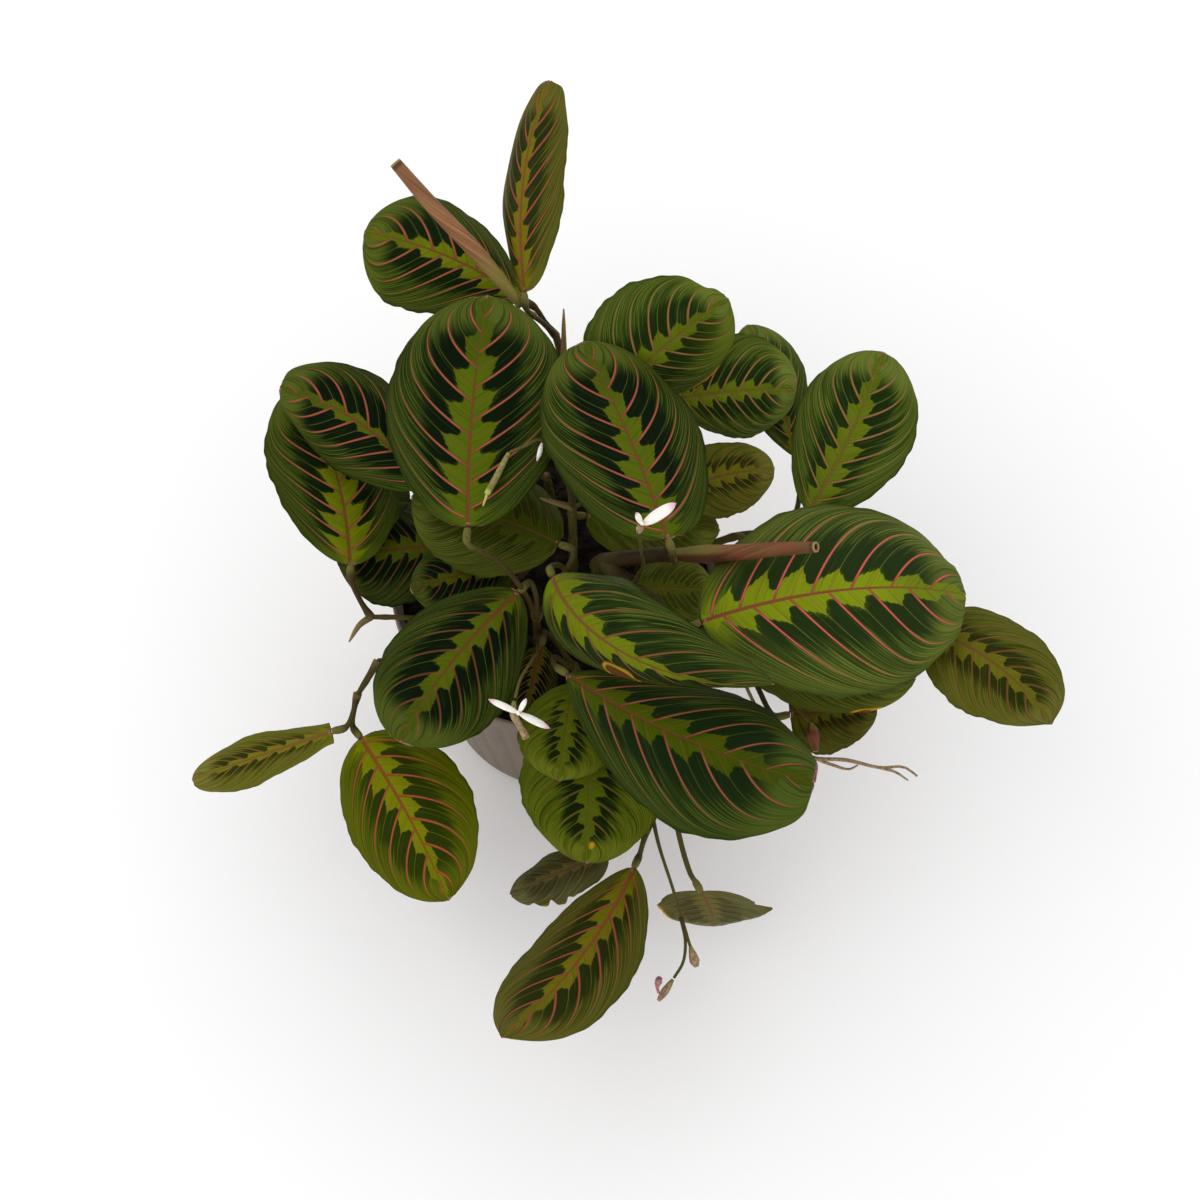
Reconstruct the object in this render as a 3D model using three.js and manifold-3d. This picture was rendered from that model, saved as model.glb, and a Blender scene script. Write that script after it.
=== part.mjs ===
// A red-veined prayer plant in its nursery pot, in millimetres, +Z up.
// The origin is the middle of the pot's flat foot; -Y is the front that the camera looks at.
// The plant is a clump of creeping stems. Each stem stands in a hole in the soil, leans out
// over the rim and carries its leaves on short stalks, each with a swollen joint at the blade.
import * as THREE from "three";
import { mergeVertices } from "three/addons/utils/BufferGeometryUtils.js";
import Module from "manifold-3d";

const wasm = await Module();
wasm.setup();

// Driving dimensions of the pot and soil
const POT_HEIGHT = 120;
const RIM_RADIUS = 75;
const RIM_BAND = 9;
const WALL_TOP_RADIUS = 73;
const FOOT_RADIUS = 56;
const WALL = 1.8;
const FLOOR = 3;
const RIBS = 36;
const RIB_STEPS = 2;
const RIB_DEPTH = 0.8;
const FOOT_EDGE = 1;
const DRAIN_HOLES = 6;
const DRAIN_RADIUS = 4.5;
const DRAIN_CIRCLE = 40;
const DRAIN_SIDES = 9;
const SOIL_TOP = 108;
const SOIL_BUMP = 1;
const SOIL_LUMPS = 0.28;
const SOIL_SIDES = 22;
const SOIL_RINGS = [54, 38, 22];
const SOIL_EDGE_DROP = 2;
const HOLE_DEPTH = 26;
const HOLE_SIDES = 9;
const HOLE_PLAY = 0.5;
const COLLAR_HEIGHT = 3;
const GAP = 0.3;

// Driving dimensions that every leaf and stem shares
const BLADE_THICKNESS = 0.8;
const BLADE_STEPS = 10;
const BLADE_STRIPS = 4;
const MIDRIB_STEPS = 48;
const PETAL_STEPS = 5;
const PETAL_STRIPS = 2;
const STALK_RADIUS = 1.2;
const JOINT_RADIUS = 1.8;
const JOINT_LENGTH = 7;
const STEM_RADIUS = 2.2;
const FLOWER_STALK_RADIUS = 0.7;
const STALK_SIDES = 5;
const STEM_SIDES = 6;
const STEPS_PER_POINT = 2;

const radians = THREE.MathUtils.degToRad;
const COLOURS = {
  pot: 0x6d5e4b,
  soil: 0x1d1814,
  leaf: 0x35521f,
  stem: 0x5c5a3c,
  rolled: 0x8a5a48,
  petal: 0xf2ece8,
  dry: 0xa58a63,
};
const plant = new THREE.Group();

// Joining and cutting of closed solids
function closedSolid(geometry) {
  const bare = geometry.clone();
  bare.deleteAttribute("normal");
  bare.deleteAttribute("uv");
  const merged = mergeVertices(bare, 1e-4);
  const index = merged.index.array;
  const kept = [];
  for (let i = 0; i < index.length; i += 3) {
    const [a, b, c] = [index[i], index[i + 1], index[i + 2]];
    if (a !== b && b !== c && c !== a) kept.push(a, b, c);
  }
  return new wasm.Manifold(
    new wasm.Mesh({
      numProp: 3,
      vertProperties: new Float32Array(merged.attributes.position.array),
      triVerts: new Uint32Array(kept),
    }),
  );
}

function geometryOf(solid) {
  const mesh = solid.getMesh();
  const geometry = new THREE.BufferGeometry();
  geometry.setAttribute("position", new THREE.BufferAttribute(new Float32Array(mesh.vertProperties), 3));
  geometry.setIndex(new THREE.BufferAttribute(new Uint32Array(mesh.triVerts), 1));
  geometry.computeVertexNormals();
  return geometry;
}

function fuse(solids) {
  return solids.reduce((whole, next) => whole.add(next));
}

function place(name, solid, colour, roughness) {
  const material = new THREE.MeshStandardMaterial({ color: colour, roughness, metalness: 0 });
  const mesh = new THREE.Mesh(geometryOf(solid), material);
  mesh.name = name;
  plant.add(mesh);
}

// A closed tube along a smooth curve through the given points. The radius follows the list of
// radii, which are spread evenly along the curve.
function tube(points, radii, sides, steps) {
  const curve = new THREE.CatmullRomCurve3(points.map((p) => new THREE.Vector3(...p)), false, "centripetal");
  const frames = curve.computeFrenetFrames(steps, false);
  const positions = [];
  for (let k = 0; k <= steps; k++) {
    const centre = curve.getPointAt(k / steps);
    const along = (k / steps) * (radii.length - 1);
    const low = Math.min(Math.floor(along), radii.length - 2);
    const radius = THREE.MathUtils.lerp(radii[low], radii[low + 1], along - low);
    for (let j = 0; j < sides; j++) {
      const angle = (j / sides) * 2 * Math.PI;
      const point = centre
        .clone()
        .addScaledVector(frames.normals[k], radius * Math.cos(angle))
        .addScaledVector(frames.binormals[k], radius * Math.sin(angle));
      positions.push(point.x, point.y, point.z);
    }
  }
  const start = positions.length / 3;
  positions.push(...curve.getPointAt(0).toArray(), ...curve.getPointAt(1).toArray());
  const index = [];
  for (let j = 0; j < sides; j++) {
    const next = (j + 1) % sides;
    index.push(start, next, j);
    index.push(start + 1, steps * sides + j, steps * sides + next);
    for (let k = 0; k < steps; k++) {
      const [a, b] = [k * sides + j, k * sides + next];
      index.push(a, b, b + sides, a, b + sides, a + sides);
    }
  }
  const geometry = new THREE.BufferGeometry();
  geometry.setAttribute("position", new THREE.Float32BufferAttribute(positions, 3));
  geometry.setIndex(index);
  return closedSolid(geometry);
}

// The midrib climbs at the leaf's pitch, droops by its bend and turns sideways by its swing.
function midribDirection(leaf, s) {
  const heading = radians(leaf.heading + leaf.swing * s);
  const pitch = radians(leaf.pitch - leaf.bend * s);
  return new THREE.Vector3(
    Math.cos(pitch) * Math.cos(heading),
    Math.cos(pitch) * Math.sin(heading),
    Math.sin(pitch),
  );
}

function midribPoint(leaf, s) {
  const point = new THREE.Vector3(...leaf.base);
  const whole = Math.floor(s * MIDRIB_STEPS);
  for (let k = 0; k < whole; k++) {
    point.addScaledVector(midribDirection(leaf, (k + 0.5) / MIDRIB_STEPS), leaf.length / MIDRIB_STEPS);
  }
  const rest = s - whole / MIDRIB_STEPS;
  return point.addScaledVector(midribDirection(leaf, (whole + 0.5) / MIDRIB_STEPS), leaf.length * rest);
}

// Half the blade's width at share s of its length: full and round at the stalk and widest at the
// share that the leaf's "widest" gives. The more its "tip", the more pointed the leaf ends, and
// the lower its "heel", the blunter it starts.
function halfWidth(leaf, s) {
  const power = Math.log(0.5) / Math.log(leaf.widest);
  const roundness = 0.43 + 0.05 * s + leaf.tip * s ** 16 + leaf.heel * (1 - s) ** 16;
  return (leaf.width / 2) * Math.max(0, Math.sin(Math.PI * s ** power)) ** roundness;
}

// A point of the blade's upper face: s runs from stalk to tip, t from the right edge (-1) to
// the left edge (+1). Across, the blade is an arc whose edge hangs at the leaf's camber angle,
// tilted by its roll and twist, with a wave that grows towards the edges.
function bladePoint(leaf, s, t) {
  const along = midribDirection(leaf, s);
  const heading = radians(leaf.heading + leaf.swing * s);
  const level = new THREE.Vector3(-Math.sin(heading), Math.cos(heading), 0);
  const upright = new THREE.Vector3().crossVectors(along, level);
  const roll = radians(leaf.roll + leaf.twist * (s - 0.5));
  const side = level.clone().multiplyScalar(Math.cos(roll)).addScaledVector(upright, Math.sin(roll));
  const up = upright.multiplyScalar(Math.cos(roll)).addScaledVector(level, -Math.sin(roll));
  const half = halfWidth(leaf, s);
  const camber = radians(leaf.camber);
  const turns = leaf.waves * s + leaf.heading / 90 + (t > 0 ? 0.31 : 0);
  const wave = leaf.wave * t * t * Math.sin(2 * Math.PI * turns) * Math.sin(Math.PI * s);
  return midribPoint(leaf, s)
    .addScaledVector(side, (half * Math.sin(camber * t)) / camber)
    .addScaledVector(up, wave - (half * (1 - Math.cos(camber * t))) / camber);
}

function bladeNormal(leaf, s, t) {
  const step = 1e-3;
  const inner = THREE.MathUtils.clamp(s, 0.02, 0.98);
  const alongS = bladePoint(leaf, inner + step, t).sub(bladePoint(leaf, inner - step, t));
  const alongT = bladePoint(leaf, inner, t + step).sub(bladePoint(leaf, inner, t - step));
  return alongS.cross(alongT).normalize();
}

// One blade: the same grid of triangles on its upper and lower faces, a point at each end and
// a thin edge between the faces.
function blade(leaf, steps = BLADE_STEPS, strips = BLADE_STRIPS) {
  const rows = steps - 1;
  const across = strips + 1;
  const positions = [];
  const add = (s, t, depth) => {
    const point = bladePoint(leaf, s, t).addScaledVector(bladeNormal(leaf, s, t), -depth);
    positions.push(point.x, point.y, point.z);
  };
  for (const depth of [0, BLADE_THICKNESS]) {
    add(0, 0, depth);
    for (let i = 1; i <= rows; i++) {
      const s = (1 - Math.cos((Math.PI * i) / steps)) / 2;
      for (let j = 0; j < across; j++) add(s, (2 * j) / strips - 1, depth);
    }
    add(1, 0, depth);
  }
  const faceSize = positions.length / 6;
  const tip = faceSize - 1;
  const at = (i, j) => 1 + (i - 1) * across + j;
  const upper = [];
  for (let j = 0; j < strips; j++) {
    upper.push(0, at(1, j), at(1, j + 1));
    upper.push(tip, at(rows, j + 1), at(rows, j));
    for (let i = 1; i < rows; i++) {
      upper.push(at(i, j), at(i + 1, j), at(i + 1, j + 1));
      upper.push(at(i, j), at(i + 1, j + 1), at(i, j + 1));
    }
  }
  const rim = [0];
  for (let i = 1; i <= rows; i++) rim.push(at(i, 0));
  rim.push(tip);
  for (let i = rows; i >= 1; i--) rim.push(at(i, strips));
  const index = [...upper];
  for (let i = 0; i < upper.length; i += 3) {
    index.push(upper[i] + faceSize, upper[i + 2] + faceSize, upper[i + 1] + faceSize);
  }
  rim.forEach((a, k) => {
    const b = rim[(k + 1) % rim.length];
    index.push(a, a + faceSize, b + faceSize, a, b + faceSize, b);
  });
  const geometry = new THREE.BufferGeometry();
  geometry.setAttribute("position", new THREE.Float32BufferAttribute(positions, 3));
  geometry.setIndex(index);
  return closedSolid(geometry);
}

// The leaf's stalk rises from its stem through the listed points and ends in the swollen joint,
// a small gap short of the blade.
function stalk(leaf) {
  const along = midribDirection(leaf, 0);
  const base = new THREE.Vector3(...leaf.base);
  const joint = base.clone().addScaledVector(along, -JOINT_LENGTH);
  const end = base.clone().addScaledVector(along, -GAP);
  const points = [...leaf.stalk, joint.toArray(), end.toArray()];
  const radii = [STALK_RADIUS * 1.5, STALK_RADIUS, STALK_RADIUS, STALK_RADIUS, JOINT_RADIUS, STALK_RADIUS];
  return tube(points, radii, STALK_SIDES, STEPS_PER_POINT * points.length);
}

const leafDefaults = {
  roll: 0,
  camber: 25,
  bend: 18,
  swing: 0,
  twist: 0,
  widest: 0.5,
  tip: 0.1,
  heel: 0,
  wave: 1.2,
  waves: 2,
};

// Every stem, with the hole that it stands in, its own route, and the leaves on it. A leaf gives
// where its blade starts, which way it heads and climbs there, its length and greatest width,
// and the route of its stalk up to the joint.
const SHOOTS = [
  {
    name: "stem_back",
    hole: [8, 7],
    routes: [[[8, 7, 140], [8, 8, 170], [8, 22, 184], [6, 44, 184], [4, 72, 184], [0.5, 87, 185]]],
    bracts: [
      [[4, 70, 184], [4, 82, 189], [4, 94, 196]],
      [[8, 8, 171], [0, 9, 174], [-6, 10, 176]],
      [[-8.5, 85.9, 202.4], [-11.3, 86.5, 205], [-13.78, 87.8, 206.82]],
    ],
    stalks: [
      [[8, 8, 172], [7, 7, 186], [4, 10.3, 200], [-4.8, 20, 208.5], [-11.5, 17.6, 207.5],
        [-17.88, 15.44, 206.09]],
    ],
    leaves: [
      { name: "leaf_back_upright", base: [-13, 92, 212], heading: 98, pitch: 24, length: 98, width: 39,
        roll: -34, camber: 52, bend: 14, swing: -29, twist: 32, widest: 0.48, tip: -0.2,
        stalk: [[0.5, 87, 185], [-5, 86.5, 196]] },
      { name: "leaf_back_left", base: [-14, 99, 196], heading: 150, pitch: 21, length: 77, width: 62,
        roll: 1, camber: 23, bend: 24, swing: 17, twist: -14, widest: 0.64, tip: -0.03,
        stalk: [[0.5, 87, 185], [-4, 91, 189]] },
    ],
  },
  {
    name: "stem_centre_left",
    hole: [-8, -30],
    routes: [[[-8, -30, 125], [-8, -30, 145]]],
    stalks: [[[-8, -31, 128], [-7, -48, 144], [-9, -60, 160], [-13.6, -71.8, 166], [-15.6, -78.8, 163.5]]],
    leaves: [
      { name: "leaf_centre_left", base: [-36, -10, 187], heading: 90, pitch: 29, length: 102, width: 80,
        roll: -8, camber: 15, bend: 23, swing: -9, twist: 7, widest: 0.53, tip: 0,
        stalk: [[-8, -30, 140], [-13, -27, 160], [-24, -20, 176]] },
      { name: "leaf_inner_left", base: [2, -4, 160], heading: 154, pitch: 6, length: 70, width: 56,
        camber: 26, bend: 16, swing: 10, stalk: [[-8, -30, 138], [2, -18, 150]] },
      { name: "leaf_front_left_broad", base: [-15, -28, 161], heading: -133, pitch: 7, length: 84, width: 60,
        roll: -5, camber: 29, bend: 20, swing: 14, twist: 2, widest: 0.57, tip: 0.01,
        stalk: [[-8, -30, 142], [-8, -26, 156]] },
    ],
  },
  {
    name: "stem_left_upper",
    hole: [-2, 35],
    routes: [[[-2, 35, 125], [-4, 36, 150]]],
    leaves: [
      { name: "leaf_left_upper", base: [-56, 17, 174], heading: 126, pitch: 10, length: 85, width: 50,
        roll: -16, camber: 44, bend: 22, swing: 34, twist: -35, widest: 0.55, tip: -0.2,
        stalk: [[-4, 36, 148], [-18, 30, 165], [-38, 12, 171]] },
    ],
  },
  {
    name: "stem_left_inner",
    hole: [-20, -6],
    routes: [[[-20, -6, 118], [-20, -6, 128]]],
    leaves: [
      { name: "leaf_left_under", base: [-47, 9, 133], heading: -174, pitch: 10, length: 52, width: 54,
        camber: 22, bend: 20, stalk: [[-20, -6, 120], [-30, 4, 127]] },
      { name: "leaf_inner_left_low", base: [-19, -6, 146], heading: -165, pitch: 5, length: 46, width: 40,
        camber: 22, bend: 16, stalk: [[-20, -6, 124], [-12, -5, 138]] },
    ],
  },
  {
    name: "stem_left",
    hole: [-28, -25],
    thickness: 0.65,
    routes: [[[-28, -25, 116], [-40, -25, 123], [-65, -24, 127], [-82, -24, 128]]],
    bracts: [[[-82, -24, 128], [-87, -27, 126], [-92, -33, 121]]],
    leaves: [
      { name: "leaf_left_lower", base: [-90, -7, 146], heading: 94, pitch: 12, length: 90, width: 60,
        roll: 19, camber: 12, bend: 13, swing: 26, twist: 7, widest: 0.55, tip: -0.16,
        stalk: [[-82, -24, 128], [-86, -20, 136]] },
    ],
  },
  {
    name: "stem_front_left",
    hole: [-24, -42],
    thickness: 0.65,
    routes: [
      [[-24, -42, 116], [-36, -43, 123], [-55, -44, 128], [-78, -45, 127]],
      [[-77, -44.5, 127], [-83, -53, 123], [-88, -59.5, 119.5]],
    ],
    leaves: [
      { name: "leaf_far_left_curled", base: [-98.7, -72.5, 112], heading: -163, pitch: -7, length: 70,
        width: 25, roll: 3, camber: 24, bend: 24, swing: -10, twist: -9, widest: 0.57, tip: -0.09, heel: -0.3,
        stalk: [[-78, -45, 127], [-86, -57, 121]] },
      { name: "leaf_front_left_outer", base: [-86, -74, 108], heading: -56, pitch: 3, length: 85, width: 59,
        roll: 19, camber: 24, bend: 8, swing: -10, twist: 16, widest: 0.48, tip: 0.17,
        stalk: [[-87, -58, 120.5], [-89, -63, 114]] },
    ],
  },
  {
    name: "stem_right",
    hole: [20, -4],
    routes: [
      [[20, -4, 125], [20, -6, 146], [30, -12, 161], [45, -15, 171], [52, -18, 178]],
      [[22, -8, 150], [28, -18, 158], [34, -25, 163]],
    ],
    stalks: [[[34, -25, 162], [38, -28, 185], [37, -31, 205], [36, -29.5, 218]]],
    thickness: 1.9,
    leaves: [
      { name: "leaf_centre_right", base: [48, -25, 205], heading: 108, pitch: 11, length: 98, width: 73,
        roll: 18, camber: 15, bend: 13, swing: 6, twist: -10, widest: 0.48, tip: -0.04,
        stalk: [[50, -17, 176], [51, -27, 188]] },
      { name: "leaf_right_broad", base: [62, -54, 186], heading: 14, pitch: 16, length: 124, width: 91,
        roll: 7, camber: 30, bend: 54, swing: -5, twist: 7, widest: 0.52, tip: -0.2,
        stalk: [[34, -25, 163], [42, -34, 171], [48, -46, 181]] },
    ],
  },
  {
    name: "stem_back_right",
    hole: [22, 44],
    routes: [[[22, 44, 125], [24, 46, 142]]],
    leaves: [
      { name: "leaf_back_right", base: [27, 57, 186], heading: 34, pitch: 37, length: 65, width: 65,
        roll: 52, camber: 38, bend: 5, swing: -14, twist: -16, widest: 0.37, tip: 0.18,
        stalk: [[24, 46, 140], [22, 48, 170]] },
      { name: "leaf_right_upper", base: [54, 66, 165], heading: 8, pitch: 9, length: 54, width: 52,
        roll: 47, camber: 36, bend: 12, swing: -8, twist: -3, widest: 0.54, tip: -0.15,
        stalk: [[24, 46, 134], [38, 60, 153]] },
      { name: "leaf_right_inner", base: [55, 27, 152], heading: 22, pitch: 9, length: 44, width: 38,
        roll: 7, camber: 29, bend: 11, swing: -19, twist: 12, widest: 0.44, tip: -0.08,
        stalk: [[23, 45, 130], [40, 42, 144]] },
      { name: "leaf_inner_right", base: [14, 20, 141], heading: -7, pitch: 8, length: 60, width: 40,
        camber: 22, bend: 16, stalk: [[22, 44, 120], [14, 34, 130], [6, 23, 138]] },
    ],
  },
  {
    name: "stem_right_back",
    hole: [38, 6],
    routes: [[[38, 6, 116], [48, 5, 128], [64, 6, 136], [82, 12, 137], [96, 14, 136]]],
    leaves: [
      { name: "leaf_right_back_low", base: [109, 50, 142], heading: 103, pitch: 14, length: 69, width: 39,
        roll: -3, camber: 43, bend: 13, swing: 9, twist: -2, widest: 0.66, tip: 0.02,
        stalk: [[96, 14, 136], [108, 24, 135]] },
      { name: "leaf_right_tall", base: [112, 12, 160], heading: 57, pitch: 20, length: 79, width: 56,
        roll: 2, camber: 29, bend: 6, swing: 13, twist: 12, widest: 0.57, tip: -0.07,
        stalk: [[82, 12, 137], [96, 2, 146]] },
    ],
  },
  {
    name: "stem_right_low",
    hole: [36, -22],
    routes: [[[36, -22, 116], [48, -28, 125], [70, -34, 128], [88, -38, 130]]],
    stalks: [[[85, -51, 128], [97, -60, 133], [110.89, -77.82, 133.98]]],
    leaves: [
      { name: "leaf_inner_right_low", base: [34, -20, 148], heading: -1, pitch: 8, length: 36, width: 38,
        camber: 20, bend: 16, stalk: [[36, -22, 116], [28, -22, 132]] },
      { name: "leaf_right_under", base: [74, -44, 156], heading: -17, pitch: 7, length: 84, width: 50,
        camber: 30, bend: 22, swing: 6, stalk: [[50, -29, 126], [58, -41, 142]] },
      { name: "leaf_far_right", base: [163, -39, 146], heading: -25, pitch: 10, length: 68, width: 52,
        roll: -3, camber: 17, bend: 13, swing: -37, twist: 4, widest: 0.43, tip: 0.37,
        stalk: [[88, -38, 130], [120, -30, 136], [142, -24, 143]] },
      { name: "leaf_right_low", base: [103, -71, 128], heading: 5, pitch: 2, length: 39, width: 38,
        roll: 4, camber: 33, bend: 17, swing: 5, widest: 0.35, tip: -0.05, heel: -0.15,
        stalk: [[70, -34, 128], [86, -52, 128]] },
    ],
  },
  {
    name: "stem_centre_front",
    hole: [8, -18],
    routes: [[[8, -18, 122], [7, -18, 140]]],
    leaves: [
      { name: "leaf_centre_twisted", base: [0, -32, 184], heading: -78, pitch: 30, length: 122, width: 56,
        roll: 65, camber: 68, bend: 41, swing: 88, twist: 71, widest: 0.38, tip: 0.15,
        stalk: [[7, -18, 138], [4, -18, 165]] },
    ],
  },
  {
    name: "stem_front",
    hole: [8, -44],
    routes: [[[8, -44, 120], [7, -47, 128]]],
    leaves: [
      { name: "leaf_front_right_broad", base: [6, -63, 153], heading: -44, pitch: 19, length: 120, width: 72,
        roll: 1, camber: 39, bend: 17, swing: 28, twist: -29, widest: 0.65, tip: -0.2,
        stalk: [[7, -47, 126], [0, -50, 142]] },
      { name: "leaf_front_upper", base: [9, -62, 141], heading: -99, pitch: 0, length: 43, width: 44,
        camber: 28, bend: 24, widest: 0.55, stalk: [[7, -47, 126], [9, -50, 135]] },
      { name: "leaf_front_pale", base: [17, -76, 127], heading: -92, pitch: -13, length: 60, width: 65,
        roll: 4, camber: 20, bend: 24, swing: -3, twist: 7, widest: 0.42, tip: -0.05,
        stalk: [[8, -45, 122], [14, -60, 129]] },
      { name: "leaf_front_shaded", base: [-6, -38, 127], heading: -102, pitch: 0, length: 34, width: 22,
        camber: 20, bend: 14, stalk: [[8, -44, 118], [0, -33, 122]] },
    ],
  },
  {
    name: "stem_front_outer",
    hole: [34, -44],
    stalks: [
      [[43, -107, 99], [46, -118, 91], [52, -134, 81], [57, -147, 70], [60, -155, 63]],
      [[56, -145, 72], [58, -154, 65], [57, -162, 60], [53, -168, 56]],
    ],
    routes: [
      [[34, -44, 116], [42, -56, 125], [51, -74, 124], [51, -92, 110], [43, -108, 97], [39, -114, 91]],
    ],
    leaves: [
      { name: "leaf_front_outer", base: [35, -126, 84], heading: -112, pitch: 10, length: 104, width: 53,
        roll: 19, camber: 14, bend: -9, swing: -24, twist: 31, widest: 0.61, tip: 0.36,
        stalk: [[41, -111, 95], [39, -116, 88]] },
      { name: "leaf_front_outer_under", base: [23, -115, 72], heading: -158, pitch: 1, length: 47, width: 33,
        roll: 30, camber: 22, bend: 14, stalk: [[46, -103, 101], [38, -106, 86], [33, -109, 76]] },
      { name: "leaf_front_hanging", base: [65, -133, 72], heading: -44, pitch: -57, length: 34, width: 51,
        roll: 56, camber: 12, bend: 34, swing: 7, twist: -9, widest: 0.52, tip: 0.08,
        stalk: [[51, -90, 112], [54, -112, 98], [60, -128, 82]] },
    ],
  },
];

// The pot: a tapered wall with shallow upright grooves, a plain rim band and drain holes.
function makePot() {
  const bandFoot = POT_HEIGHT - RIM_BAND;
  const outerWall = [
    [FOOT_RADIUS, FOOT_EDGE],
    [(FOOT_RADIUS + WALL_TOP_RADIUS) / 2, bandFoot / 2],
    [WALL_TOP_RADIUS, bandFoot - FOOT_EDGE],
  ];
  const profile = [
    [0, 0],
    [FOOT_RADIUS - FOOT_EDGE, 0],
    ...outerWall,
    [RIM_RADIUS, bandFoot],
    [RIM_RADIUS, POT_HEIGHT],
    [RIM_RADIUS - WALL, POT_HEIGHT],
    [WALL_TOP_RADIUS - WALL, bandFoot - FOOT_EDGE],
    [FOOT_RADIUS - WALL, FLOOR],
    [0, FLOOR],
  ];
  const turned = new THREE.LatheGeometry(profile.map(([r, z]) => new THREE.Vector2(r, z)), RIBS * RIB_STEPS);
  const position = turned.attributes.position;
  for (let i = 0; i <= RIBS * RIB_STEPS; i++) {
    if (i % RIB_STEPS !== 0) continue;
    for (let j = 2; j < 2 + outerWall.length; j++) {
      const k = i * profile.length + j;
      const shrink = 1 - RIB_DEPTH / outerWall[j - 2][0];
      position.setX(k, position.getX(k) * shrink);
      position.setZ(k, position.getZ(k) * shrink);
    }
  }
  turned.rotateX(Math.PI / 2);
  let pot = closedSolid(turned);
  for (let i = 0; i < DRAIN_HOLES; i++) {
    const angle = (i / DRAIN_HOLES) * 2 * Math.PI;
    const drill = new THREE.CylinderGeometry(DRAIN_RADIUS, DRAIN_RADIUS, 4 * FLOOR, DRAIN_SIDES);
    drill.rotateX(Math.PI / 2);
    drill.translate(DRAIN_CIRCLE * Math.cos(angle), DRAIN_CIRCLE * Math.sin(angle), FLOOR / 2);
    pot = pot.subtract(closedSolid(drill));
  }
  place("pot", pot, COLOURS.pot, 0.7);
}

// The soil fills the pot to a little under the rim, with a lumpy top and one plain hole for
// each stem.
function makeSoil() {
  const edge = SOIL_TOP - SOIL_EDGE_DROP;
  const wallSlope = (WALL_TOP_RADIUS - FOOT_RADIUS) / (POT_HEIGHT - RIM_BAND - FOOT_EDGE - FLOOR);
  const innerFoot = FOOT_RADIUS - WALL - GAP;
  const innerTop = innerFoot + wallSlope * (edge - FLOOR);
  const profile = [[0, FLOOR + GAP], [innerFoot, FLOOR + GAP], [innerTop, edge]];
  for (const radius of SOIL_RINGS) profile.push([radius, SOIL_TOP]);
  profile.push([0, SOIL_TOP]);
  const turned = new THREE.LatheGeometry(profile.map(([r, z]) => new THREE.Vector2(r, z)), SOIL_SIDES);
  const position = turned.attributes.position;
  for (let k = 0; k < position.count; k++) {
    if (k % profile.length < 3) continue;
    const [x, z] = [position.getX(k), position.getZ(k)];
    const broad = Math.sin(x * SOIL_LUMPS + 2) * Math.cos(z * SOIL_LUMPS);
    const small = 0.5 * Math.sin((x - 3 * z) * SOIL_LUMPS * 0.45);
    position.setY(k, SOIL_TOP + SOIL_BUMP * (broad + small));
  }
  turned.rotateX(Math.PI / 2);
  let soil = closedSolid(turned);
  for (const shoot of SHOOTS) {
    const radius = STEM_RADIUS * (shoot.thickness ?? 1) + HOLE_PLAY;
    const drill = new THREE.CylinderGeometry(radius, radius, 2 * HOLE_DEPTH, HOLE_SIDES);
    drill.rotateX(Math.PI / 2);
    drill.translate(shoot.hole[0], shoot.hole[1], SOIL_TOP);
    soil = soil.subtract(closedSolid(drill));
  }
  place("soil", soil, COLOURS.soil, 0.95);
}

// A stem with its stalks and sheath tips, fused into one body.
function makeShoot(shoot) {
  const radius = STEM_RADIUS * (shoot.thickness ?? 1);
  const foot = [...shoot.hole, SOIL_TOP - HOLE_DEPTH + GAP];
  const collar = [...shoot.hole, SOIL_TOP + COLLAR_HEIGHT];
  const parts = shoot.routes.map((route, k) => {
    const points = k === 0 ? [foot, collar, ...route] : route;
    return tube(points, [radius, radius, radius * 0.85], STEM_SIDES, STEPS_PER_POINT * points.length);
  });
  for (const route of shoot.bracts ?? []) {
    parts.push(tube(route, [STALK_RADIUS * 1.4, STALK_RADIUS, 0.4], STALK_SIDES, 5));
  }
  for (const route of shoot.stalks ?? []) {
    parts.push(tube(route, [FLOWER_STALK_RADIUS * 1.4, FLOWER_STALK_RADIUS], STALK_SIDES, 2 * route.length));
  }
  for (const leaf of shoot.leaves) parts.push(stalk({ ...leafDefaults, ...leaf }));
  place(shoot.name, fuse(parts), COLOURS.stem, 0.6);
}

// New leaves still rolled into a tube: the widest stretch is a third of the way up, and the
// tip is cut off square where the roll opens.
const ROLLED_LEAVES = [
  { name: "rolled_leaf_back", route: [[-14, 88, 207], [-33, 105, 222], [-52, 121, 234], [-68, 136, 245]],
    radii: [1.6, 2.8, 3.4, 3.3, 3, 2.4] },
  { name: "rolled_leaf_right", route: [[53, -19, 179], [72, -24, 190], [90, -29, 203], [108, -34, 215]],
    radii: [2.6, 4, 3.5, 3.1, 2.7, 2] },
  { name: "rolled_leaf_right_low", route: [[111.1, -78.1, 134], [112, -84.8, 134.5], [112.7, -90.5, 133.5]],
    radii: [0.9, 2.2, 2.4, 1.6, 0.8] },
];

function makeRolledLeaf({ name, route, radii }) {
  place(name, tube(route, radii, STEM_SIDES, 2 * radii.length), COLOURS.rolled, 0.5);
}

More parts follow.
